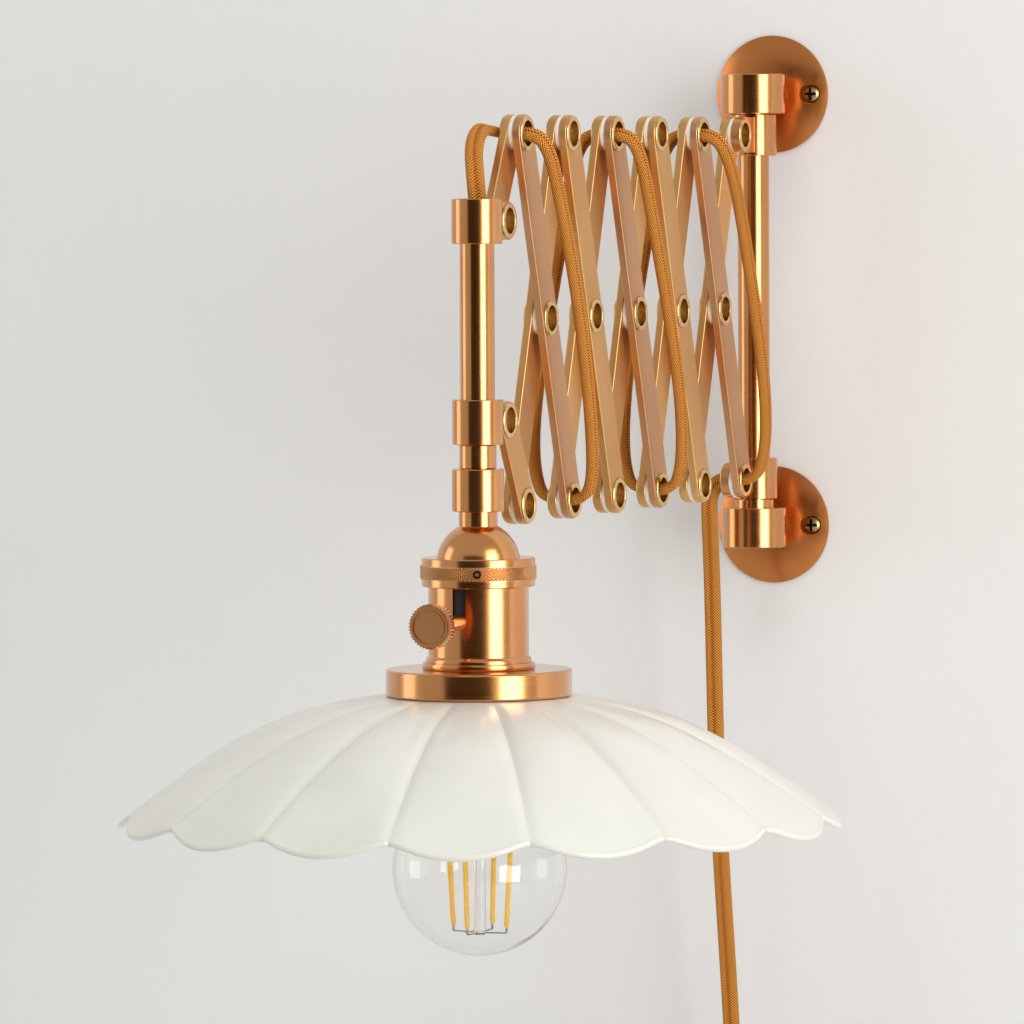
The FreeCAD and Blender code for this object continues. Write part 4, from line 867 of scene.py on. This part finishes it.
def lift_petals(piece):
    """Moves each point out and down by its share of the way to the rim and its place in its petal."""
    for vertex in piece.data.vertices:
        offset = vertex.co - LAMP_AXIS
        radius = math.hypot(offset.x, offset.y)
        angle = math.atan2(offset.x, -offset.y)
        turns = (angle - PETAL_TURN) / math.tau * PETALS + 0.5
        place = math.sin((turns % 1 * 2 - 1) * math.pi / 2)
        angle = PETAL_TURN + (math.floor(turns) + place / 2) / PETALS * math.tau
        edge = 1 - place ** 2
        stretch = max(radius - DISH_HOLE_RADIUS, 0) / (NODE_RADIUS - DISH_HOLE_RADIUS)
        out = radius + SCALLOP * edge * stretch
        share = max(out - SHOULDER_RADIUS, 0) / (NODE_RADIUS - SHOULDER_RADIUS)
        puff = PUFF * edge * math.sin(math.pi * min(share, 1)) ** 2
        off_valley = (1 - abs(place)) * math.pi * radius / PETALS
        groove = GROOVE_DEPTH * math.exp(-(off_valley / GROOVE_WIDTH) ** 2) * min(share * 5, 1)
        down = DISH_DROP * share ** CURVE_POWER + CURL * edge * share ** CURL_POWER - puff + groove
        vertex.co = LAMP_AXIS + Vector((math.sin(angle) * out, -math.cos(angle) * out, dish_top - down))


def from_axis(point):
    """How far a point is from the lamp's axis."""
    return math.hypot(point.x - LAMP_AXIS.x, point.y - LAMP_AXIS.y)


dish = spun_profile(dish_profile(), LAMP_AXIS + Vector((0, 0, dish_top)), PETALS * COLUMNS_PER_PETAL)
to_axis = Matrix.Translation(LAMP_AXIS)
dish.data.transform(to_axis @ Matrix.Rotation(PETAL_TURN, 4, "Z") @ to_axis.inverted())
rim_numbers = [vertex.index for vertex in dish.data.vertices
               if from_axis(vertex.co) > NODE_RADIUS - 0.01 * MM]
lift_petals(dish)
# An open sheet has no outside, so its faces are made to look up before the wall grows down from them.
if dish.data.polygons[0].normal.z < 0:
    dish.data.flip_normals()
rim_points = [dish.data.vertices[number].co.copy() for number in rim_numbers]
rim_points.sort(key=lambda point: math.atan2(point.x - LAMP_AXIS.x, -(point.y - LAMP_AXIS.y)))
print("rim points", len(rim_points))
pick(dish)
wall = dish.modifiers.new("wall", "SOLIDIFY")
wall.thickness = WALL
wall.offset = -1
bpy.ops.object.modifier_apply(modifier=wall.name)
settle(dish, "enamel_dish", enamel, "head", smooth_angle=35)
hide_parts("shade")
print("dish", len(dish.data.polygons), "faces")

# %% [markdown]
# ## The rolled rim
# The dish's edge is rolled round a wire, which leaves a soft bead along every scallop. A bevel would
# round the edge but not thicken it. A round tube that follows the edge does both, and it sits low, so
# that the slope of the dish runs on into it without a step.

# %% Rolled rim
BEAD_RADIUS = 1.35 * MM
BEAD_PROUD = 0.15 * MM


def ring_tube(name, points, radius, sides=10):
    """A round bead that follows a closed ring of points."""
    count = len(points)
    vertices, faces = [], []
    for number, point in enumerate(points):
        along = (points[(number + 1) % count] - points[number - 1]).normalized()
        outward = Vector((point.x - LAMP_AXIS.x, point.y - LAMP_AXIS.y, 0)).normalized()
        outward = (outward - along * outward.dot(along)).normalized()
        upward = along.cross(outward)
        for side in range(sides):
            angle = math.tau * side / sides
            vertices.append(point + (outward * math.cos(angle) + upward * math.sin(angle)) * radius)
            following = (number + 1) % count
            faces.append((number * sides + side, following * sides + side,
                          following * sides + (side + 1) % sides, number * sides + (side + 1) % sides))
    mesh = bpy.data.meshes.new(name)
    mesh.from_pydata(vertices, [], faces)
    piece = bpy.data.objects.new(name, mesh)
    bpy.context.scene.collection.objects.link(piece)
    return piece


def tucked_under(point):
    """The middle of a bead that goes on in the slope of the dish's edge and stands a little proud of it."""
    outward = Vector((point.x - LAMP_AXIS.x, point.y - LAMP_AXIS.y, 0)).normalized()
    return point - (outward * 0.6 + Vector((0, 0, 0.8))) * (BEAD_RADIUS - BEAD_PROUD)


bead_line = [tucked_under(point) for point in rim_points]
bead = outwards(ring_tube("rolled_rim", bead_line, BEAD_RADIUS))
settle(bead, "rolled_rim", enamel, "head", smooth_angle=60)
print("rolled rim", len(bead.data.polygons), "faces")

# %% [markdown]
# ## The knurled ring
# The ring that holds the socket together is gripped by hand, so its middle band is knurled: two sets of
# slanted cuts leave rows of small pyramids. Cutting them one by one would be slow. On a ring with many
# points round it, every second point of a checkerboard is pushed out. Each square is then split along
# its short diagonal, which runs from low point to low point, so four triangles meet at each high point
# as a pyramid.

# %% Knurled ring
low, high = (Vector(corner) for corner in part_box("knurled_ring"))
RING_TOP, RING_FOOT = high.z, low.z
BAND_RADIUS = 22.05 * MM
GRIP_RADIUS = 22.7 * MM
GRIP_ROOT = 22.1 * MM
RING_INNER = 19.57 * MM
RING_THROAT = 15.0 * MM
RING_ROOF = 1.2 * MM
SOFT_EDGE = 0.35 * MM
BAND_HEIGHT = 2.8 * MM
GRIP_TOP, GRIP_FOOT = RING_TOP - BAND_HEIGHT, RING_FOOT + BAND_HEIGHT
KNURLS_ROUND = 92
KNURL_ROWS = 10


def ring_profile():
    """Over the top, down the outside with its grip, and back up the inside."""
    rows = [(GRIP_ROOT, GRIP_TOP + (GRIP_FOOT - GRIP_TOP) * row / KNURL_ROWS)
            for row in range(KNURL_ROWS + 1)]
    above = [(RING_THROAT, RING_TOP), (BAND_RADIUS - SOFT_EDGE, RING_TOP),
             (BAND_RADIUS, RING_TOP - SOFT_EDGE), (BAND_RADIUS, GRIP_TOP)]
    below = [(BAND_RADIUS, GRIP_FOOT), (BAND_RADIUS, RING_FOOT + SOFT_EDGE),
             (BAND_RADIUS - SOFT_EDGE, RING_FOOT), (RING_INNER, RING_FOOT)]
    return above + rows + below + [(RING_INNER, RING_TOP - RING_ROOF), (RING_THROAT, RING_TOP - RING_ROOF)]


def push_knurls(piece):
    """Pushes every second point of the grip band's checkerboard out to the grip radius."""
    row_height = (GRIP_TOP - GRIP_FOOT) / KNURL_ROWS
    for vertex in piece.data.vertices:
        offset = vertex.co - LAMP_AXIS
        radius = math.hypot(offset.x, offset.y)
        if radius < GRIP_ROOT - 0.02 * MM:
            continue
        row = round((GRIP_TOP - vertex.co.z) / row_height)
        column = round(math.atan2(offset.y, offset.x) / math.tau * 2 * KNURLS_ROUND)
        if 0 < row < KNURL_ROWS and (row + column) % 2 == 0:
            grow = GRIP_RADIUS / radius
            vertex.co = LAMP_AXIS + Vector((offset.x * grow, offset.y * grow, offset.z))


ring = spun_profile(ring_profile(), LAMP_AXIS.copy(), 2 * KNURLS_ROUND, closed=True)
push_knurls(ring)
pick(ring)
bpy.ops.object.mode_set(mode="EDIT")
bpy.ops.mesh.select_all(action="SELECT")
bpy.ops.mesh.quads_convert_to_tris(quad_method="SHORTEST_DIAGONAL")
bpy.ops.object.mode_set(mode="OBJECT")
settle(outwards(ring), "knurled_grip_ring", knurled_copper, "head", smooth_angle=25)
# The smooth bands above and below the grip are plain turned copper.
ring.data.materials.append(upright_copper)
for polygon in ring.data.polygons:
    polygon.material_index = 0 if GRIP_FOOT < polygon.center.z < GRIP_TOP else 1
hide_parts("knurled_ring")
print("knurled ring", len(ring.data.polygons), "faces")

# %% [markdown]
# ## The grub screw
# A tiny black screw in the middle of the knurling pins the socket's cap. A hole could be cut through
# the ring for it, but only its face shows, so a short cylinder with a sunk socket sits in the ring's
# wall.

# %% Grub screw in the ring
HOLE_TURN = math.radians(21.5)
GRUB_RADIUS = 1.5 * MM
GRUB_LENGTH = 1.5 * MM
GRUB_REACH = 22.0 * MM
SOCKET_RADIUS = 0.85 * MM
SOCKET_DEPTH = 1.2 * MM
hole_way = Vector((math.sin(HOLE_TURN), -math.cos(HOLE_TURN), 0))
hole_middle = LAMP_AXIS + hole_way * GRUB_REACH + Vector((0, 0, (RING_TOP + RING_FOOT) / 2))
put_away_selection()
bpy.ops.mesh.primitive_cylinder_add(vertices=24, radius=GRUB_RADIUS, depth=GRUB_LENGTH,
                                    location=hole_middle, rotation=(math.pi / 2, 0, HOLE_TURN))
grub = bpy.context.object
bpy.ops.object.mode_set(mode="EDIT")
bpy.ops.mesh.select_mode(type="FACE")
bpy.ops.mesh.select_all(action="DESELECT")
bpy.ops.object.mode_set(mode="OBJECT")
for polygon in grub.data.polygons:
    polygon.select = polygon.normal.z > 0.9
bpy.ops.object.mode_set(mode="EDIT")
bpy.ops.mesh.inset(thickness=GRUB_RADIUS - SOCKET_RADIUS)
pull(hole_way * -SOCKET_DEPTH)
bpy.ops.object.mode_set(mode="OBJECT")
settle(grub, "grub_screw", grub_finish, "head", smooth_angle=30)
print("grub screw", len(grub.data.polygons), "faces")

# %% [markdown]
# ## The switch knob
# The switch turns with a round knob whose rim is cut with fine teeth, on a thin stem. The teeth could be a
# texture, but they show against the light, so every second point of the rim is pulled in.

# %% Knob
knob_low, knob_high = (Vector(corner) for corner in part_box("switch_knob"))
KNOB_TEETH = 40
KNOB_RADIUS = 8.7 * MM
KNOB_DEPTH = 5.0 * MM
TOOTH_DEPTH = 0.8 * MM
# Steps of the face, from its edge inwards: each an inset and a rise, in millimetres, away from the room.
FACE_STEPS = ((1.1, -0.4), (0.9, 0.7), (0.5, -0.35))
# Steps of the back down to the stem.
BACK_STEPS = ((0.5, 0.35), (4.0, 2.4))
STEM_INSET = 1.2 * MM
knob_face = Vector((0, knob_low.y, (knob_low.z + knob_high.z) / 2))
stem_root = knob_high.y


def select_by(piece, test):
    """Selects, in edit mode, the faces that pass a test on their middle and normal."""
    bpy.ops.mesh.select_all(action="DESELECT")
    bpy.ops.object.mode_set(mode="OBJECT")
    for polygon in piece.data.polygons:
        polygon.select = test(piece.matrix_world @ polygon.center, polygon.normal)
    bpy.ops.object.mode_set(mode="EDIT")


put_away_selection()
bpy.ops.mesh.primitive_cylinder_add(vertices=2 * KNOB_TEETH, radius=KNOB_RADIUS, depth=KNOB_DEPTH,
                                    location=knob_face + Vector((0, KNOB_DEPTH / 2, 0)),
                                    rotation=(math.pi / 2, 0, 0))
knob = bpy.context.object
bpy.ops.object.transform_apply(location=True, rotation=True, scale=True)
bpy.ops.object.mode_set(mode="EDIT")
bpy.ops.mesh.select_mode(type="FACE")
select_by(knob, lambda middle, normal: normal.y < -0.9)
for inset, rise in FACE_STEPS:
    bpy.ops.mesh.inset(thickness=inset * MM)
    pull((0, rise * MM, 0))
select_by(knob, lambda middle, normal: normal.y > 0.9)
for inset, rise in BACK_STEPS:
    bpy.ops.mesh.inset(thickness=inset * MM)
    pull((0, rise * MM, 0))
bpy.ops.mesh.inset(thickness=STEM_INSET)
risen = sum(rise for inset, rise in BACK_STEPS) * MM
pull((0, stem_root - knob_face.y - KNOB_DEPTH - risen, 0))
bpy.ops.object.mode_set(mode="OBJECT")
for vertex in knob.data.vertices:
    offset = vertex.co - knob_face
    radius = math.hypot(offset.x, offset.z)
    column = round(math.atan2(offset.z, offset.x) / math.tau * 2 * KNOB_TEETH)
    if radius > KNOB_RADIUS - 0.05 * MM and column % 2:
        shrink = (KNOB_RADIUS - TOOTH_DEPTH) / KNOB_RADIUS
        vertex.co = knob_face + Vector((offset.x * shrink, offset.y, offset.z * shrink))
settle(knob, "toothed_switch_knob", knob_copper, "knob", smooth_angle=24)
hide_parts("switch_knob")
print("knob", len(knob.data.polygons), "faces")

# %% [markdown]
# ## Inside the bulb
# Four coated strips stand round a glass stem, joined by thin wires. Curves with a bevel would do for the
# wires, but strips and wires are all rounded rods, so one helper stands a bevelled cylinder between two
# points, and the bulb's inside is a list of where they go.

# %% Bulb inside
def rod_between(start, end, radius, soft=0.3):
    """A round rod with softened ends from one point to another."""
    put_away_selection()
    along = end - start
    lean = along.to_track_quat("Z", "Y").to_euler()
    bpy.ops.mesh.primitive_cylinder_add(vertices=16, radius=radius, depth=along.length,
                                        location=(start + end) / 2, rotation=lean)
    rod = bpy.context.object
    bpy.ops.object.mode_set(mode="EDIT")
    bpy.ops.mesh.select_mode(type="FACE")
    select_by(rod, lambda middle, normal: abs(normal.z) > 0.9)
    bpy.ops.mesh.bevel(offset=radius * soft, segments=2)
    bpy.ops.object.mode_set(mode="OBJECT")
    return rod


def joined(parts):
    put_away_selection()
    for part in parts:
        part.select_set(True)
    bpy.context.view_layer.objects.active = parts[0]
    bpy.ops.object.join()
    return bpy.context.object


bulb_low, bulb_high = (Vector(corner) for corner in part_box("bulb_glass"))
BULB_RADIUS = (bulb_high.x - bulb_low.x) / 2
globe = LAMP_AXIS + Vector((0, 0, bulb_low.z + BULB_RADIUS))
FILAMENT_RADIUS = 1.05 * MM
FILAMENT_FOOT = -22.3 * MM
FILAMENT_TOP = 15.0 * MM
FOOT_SPREAD = 11.4 * MM
HEAD_SPREAD = 13.6 * MM
FILAMENTS = 4
FILAMENT_TURN = -2.5
WIRE_RADIUS = 0.3 * MM
FOOT_WIRE_RADIUS = 0.5 * MM
STEM_FOOT = globe.z - 25.0 * MM
hub = Vector((globe.x, globe.y, STEM_FOOT))
drop = Vector((0, 0, -2.4 * MM))
strips, wires = [], []
for number in range(FILAMENTS):
    turned = math.radians(FILAMENT_TURN + 360 / FILAMENTS * number)
    way = Vector((math.cos(turned), math.sin(turned), 0))
    foot = globe + way * FOOT_SPREAD + Vector((0, 0, FILAMENT_FOOT))
    head = globe + way * HEAD_SPREAD + Vector((0, 0, FILAMENT_TOP))
    top_hook = globe + way * 3 * MM + Vector((0, 0, FILAMENT_TOP + 9 * MM))
    strips.append(rod_between(foot, head, FILAMENT_RADIUS))
    wires.append(rod_between(foot, foot + drop, FOOT_WIRE_RADIUS))
    wires.append(rod_between(foot + drop, hub, WIRE_RADIUS))
    wires.append(rod_between(head, top_hook, WIRE_RADIUS))
strips = settle(joined(strips), "filament_strips", phosphor, "head")
wires = settle(joined(wires), "support_wires", wire_finish, "head")
# The glass stem ends in a bead and flares out towards the bulb's cap.
stem_profile = [(0, STEM_FOOT - 1.2 * MM), (1.9 * MM, STEM_FOOT - 0.8 * MM),
                (2.7 * MM, STEM_FOOT + 0.6 * MM), (2.3 * MM, STEM_FOOT + 2.6 * MM),
                (2.3 * MM, globe.z + 14 * MM), (3.4 * MM, globe.z + 22 * MM), (5.0 * MM, globe.z + 34 * MM),
                (8.5 * MM, globe.z + 46 * MM), (9.5 * MM, bulb_high.z - 5 * MM), (0, bulb_high.z - 5 * MM)]
stem = spun_profile(stem_profile, LAMP_AXIS.copy(), 32)
settle(outwards(stem), "glass_stem", glass, "head")
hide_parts("bulb_filaments")
print("bulb inside", len(strips.data.polygons), len(wires.data.polygons), len(stem.data.polygons), "faces")

# %% [markdown]
# ## The tie on the coil
# A strap with a small buckle keeps the spare turns together, as a reusable cable tie does. A ring could be
# bent round the bundle. Only its outside shows, so a block with rounded edges is enough, and the turns run
# through it.

# %% Tie
TIE_WIDTH = 8.0 * MM
TIE_SKIN = 0.9 * MM
BUCKLE = Vector((3.2, 11.0, 7.0)) * MM
BUCKLE_STAND = 1.2 * MM
bundle = Vector((TURNS_ALONG * CORD_THICKNESS * LAYER_ROOM, TIE_WIDTH, TURNS_ACROSS * CORD_WIDTH))
tie_middle = coil_middle + Vector((0, 0, coil_mid_radius))


def soft_block(middle, size, soft):
    """A block with rounded edges."""
    put_away_selection()
    bpy.ops.mesh.primitive_cube_add(size=1, location=middle)
    block = bpy.context.object
    block.scale = size
    bpy.ops.object.transform_apply(location=False, rotation=False, scale=True)
    bpy.ops.object.mode_set(mode="EDIT")
    bpy.ops.mesh.select_all(action="SELECT")
    bpy.ops.mesh.bevel(offset=soft, segments=3)
    bpy.ops.object.mode_set(mode="OBJECT")
    return block


strap = soft_block(tie_middle, bundle + Vector((2 * TIE_SKIN, 0, 2 * TIE_SKIN)), 0.8 * MM)
buckle = soft_block(tie_middle + Vector((bundle.x / 2 + TIE_SKIN + BUCKLE_STAND, 0, 0)), BUCKLE, 0.9 * MM)
tie = settle(joined([strap, buckle]), "coil_tie", tie_finish, "lower_slide",
             smooth_angle=35)
print("tie", len(tie.data.polygons), "faces")

# %% [markdown]
# ## Wall and floor
# The lamp hangs on a plain wall with a roller's faint texture. A bent backdrop would hide the corner
# between wall and floor, but the floor is far below the picture, so two sheets are enough. Seen from
# behind, the wall lets the view through, so that the lamp can be looked at from there.

# %% Wall and floor
def pale_matt(name, colour):
    """Wall paint with a roller's texture. Seen from behind, it lets the view through."""
    finish, tree, shader = new_finish(name, Roughness=0.9, Base_Color=linear(colour))
    where = add_node(tree, "ShaderNodeTexCoord").outputs["Object"]
    grain = add_node(tree, "ShaderNodeTexNoise", {"Vector": where, "Scale": 0.12 / MM,
                                                  "Detail": 4.0}).outputs["Fac"]
    relief = add_node(tree, "ShaderNodeBump", {"Height": grain, "Distance": 0.6 * MM, "Strength": 0.25})
    tree.links.new(relief.outputs["Normal"], shader.inputs["Normal"])
    behind = add_node(tree, "ShaderNodeNewGeometry").outputs["Backfacing"]
    clear = add_node(tree, "ShaderNodeBsdfTransparent")
    mix = add_node(tree, "ShaderNodeMixShader", {0: behind, 1: shader.outputs[0], 2: clear.outputs[0]})
    tree.links.new(mix.outputs[0], tree.nodes["Material Output"].inputs["Surface"])
    return finish


FLOOR_Z = -0.9
SHEET_SIZE = 8
BEHIND_PLATES = 0.2 * MM
put_away_selection()
bpy.ops.mesh.primitive_plane_add(size=SHEET_SIZE, location=(0, BEHIND_PLATES, 0),
                                 rotation=(math.pi / 2, 0, 0))
wall_sheet = bpy.context.object
wall_sheet.name = "studio_wall"
bpy.ops.mesh.primitive_plane_add(size=SHEET_SIZE, location=(0, 0, FLOOR_Z))
floor_sheet = bpy.context.object
floor_sheet.name = "studio_floor"
wall_sheet.data.materials.append(pale_matt("warm_white_wall_paint", "#ECEBE9"))
floor_sheet.data.materials.append(pale_matt("pale_studio_floor", "#ECEBE9"))
print("wall and floor at", BEHIND_PLATES, FLOOR_Z)

# %% [markdown]
# ## Light
# The lamp is lit by soft studio light: a large softbox to the camera's right, a weak one to the left
# and one overhead. A window and a white room would light it in the same way, but boxes can be placed
# one at a time until the dish turns from light to shade as it does in the photograph.

# %% Lights
def softbox(name, round_degrees, height, distance, size, power):
    """A softbox at an angle round the lamp from straight in front, facing the lamp."""
    angle = math.radians(round_degrees)
    place = AIM + Vector((math.sin(angle), -math.cos(angle), 0)) * distance + Vector((0, 0, height))
    put_away_selection()
    bpy.ops.object.light_add(type="AREA", location=place,
                             rotation=(AIM - place).to_track_quat("-Z", "Y").to_euler())
    light = bpy.context.object
    light.name = name
    light.data.shape = "RECTANGLE"
    light.data.size, light.data.size_y = size
    light.data.energy = power
    return light


softbox("right_softbox", 61, 0.4, 2.3, (1.2, 2.2), 30)
softbox("left_softbox", -70, 0.4, 2.6, (1.0, 2.0), 9)
# The top one only fills the shadows. Metal doesn't mirror it, or every upper edge would turn white.
top_softbox = softbox("top_softbox", 15, 2.2, 1.5, (1.8, 1.0), 20)
top_softbox.visible_glossy = False

# %% [markdown]
# ## What the metal mirrors
# Polished metal shows the studio more than its own colour. A bright card behind the right softbox makes the
# stripe down each tube, and the dark room behind the camera gives the deep copper beside it. Lamps could do
# the same, but they would light the wall too. Cards that only mirrors see change the metal alone.

# %% Reflector behind the right softbox
REFLECTOR_GLOW = 2.6


def glowing_card():
    """A white card that makes the stripe down each tube as bright as in the studio."""
    finish, tree, shader = new_finish("lit_reflector_card", Roughness=1.0, Base_Color=linear("#FFFFFF"),
                                      Emission_Color=linear("#FFFBF4"))
    # Light that has already met a matt surface doesn't see the card, or the copper would throw bright spots
    # from it onto the dish.
    spent = add_node(tree, "ShaderNodeLightPath").outputs["Diffuse Depth"]
    glow = add_node(tree, "ShaderNodeMapRange", {"Value": spent, "To Min": REFLECTOR_GLOW, "To Max": 0.0})
    tree.links.new(glow.outputs["Result"], shader.inputs["Emission Strength"])
    return finish


def studio_card(name, round_degrees, distance, size, finish):
    """A flat card at an angle round the lamp, which only mirrors see."""
    angle = math.radians(round_degrees)
    place = AIM + Vector((math.sin(angle), -math.cos(angle), 0)) * distance
    put_away_selection()
    bpy.ops.mesh.primitive_plane_add(size=1, location=place, rotation=(math.pi / 2, 0, angle))
    card = bpy.context.object
    card.name = name
    card.scale = (*size, 1)
    card.data.materials.append(finish)
    card.visible_camera = False
    card.visible_diffuse = False
    card.visible_shadow = False
    card.visible_transmission = False


studio_card("right_reflector", 61, 3.0, (1.5, 2.6), glowing_card())
print("reflector glows at", REFLECTOR_GLOW)

# %% Dark room behind the camera
dark_cloth = new_finish("dark_room_cloth", Roughness=1.0, Base_Color=linear("#3A2A1E"))[0]
studio_card("dark_room", 10, 3.6, (3.9, 3.0), dark_cloth)

# %% [markdown]
# ## The world
# The rest of the room is a plain pale light from all sides. One strength would do, but what fills the
# shadows gently is too dim as a background and in mirrors. So the camera, mirrors and glass see a
# brighter room than the one that lights the lamp.

# %% World
world = bpy.data.worlds.new("studio")
bpy.context.scene.world = world
world.use_nodes = True
WORLD_LIGHT = 0.46
WORLD_SEEN = 0.66
tree = world.node_tree
background = tree.nodes["Background"]
background.inputs["Color"].default_value = linear("#F2F1EF")
rays = add_node(tree, "ShaderNodeLightPath")
seen = rays.outputs["Is Camera Ray"]
for kind in ("Is Transmission Ray", "Is Glossy Ray"):
    seen = add_node(tree, "ShaderNodeMath", {0: seen, 1: rays.outputs[kind]},
                    operation="MAXIMUM").outputs[0]
strength = add_node(tree, "ShaderNodeMapRange", {"Value": seen, "To Min": WORLD_LIGHT,
                                                 "To Max": WORLD_SEEN})
tree.links.new(strength.outputs["Result"], background.inputs["Strength"])
bpy.context.scene.view_settings.view_transform = "Standard"
print("world", WORLD_LIGHT, "seen as", WORLD_SEEN)
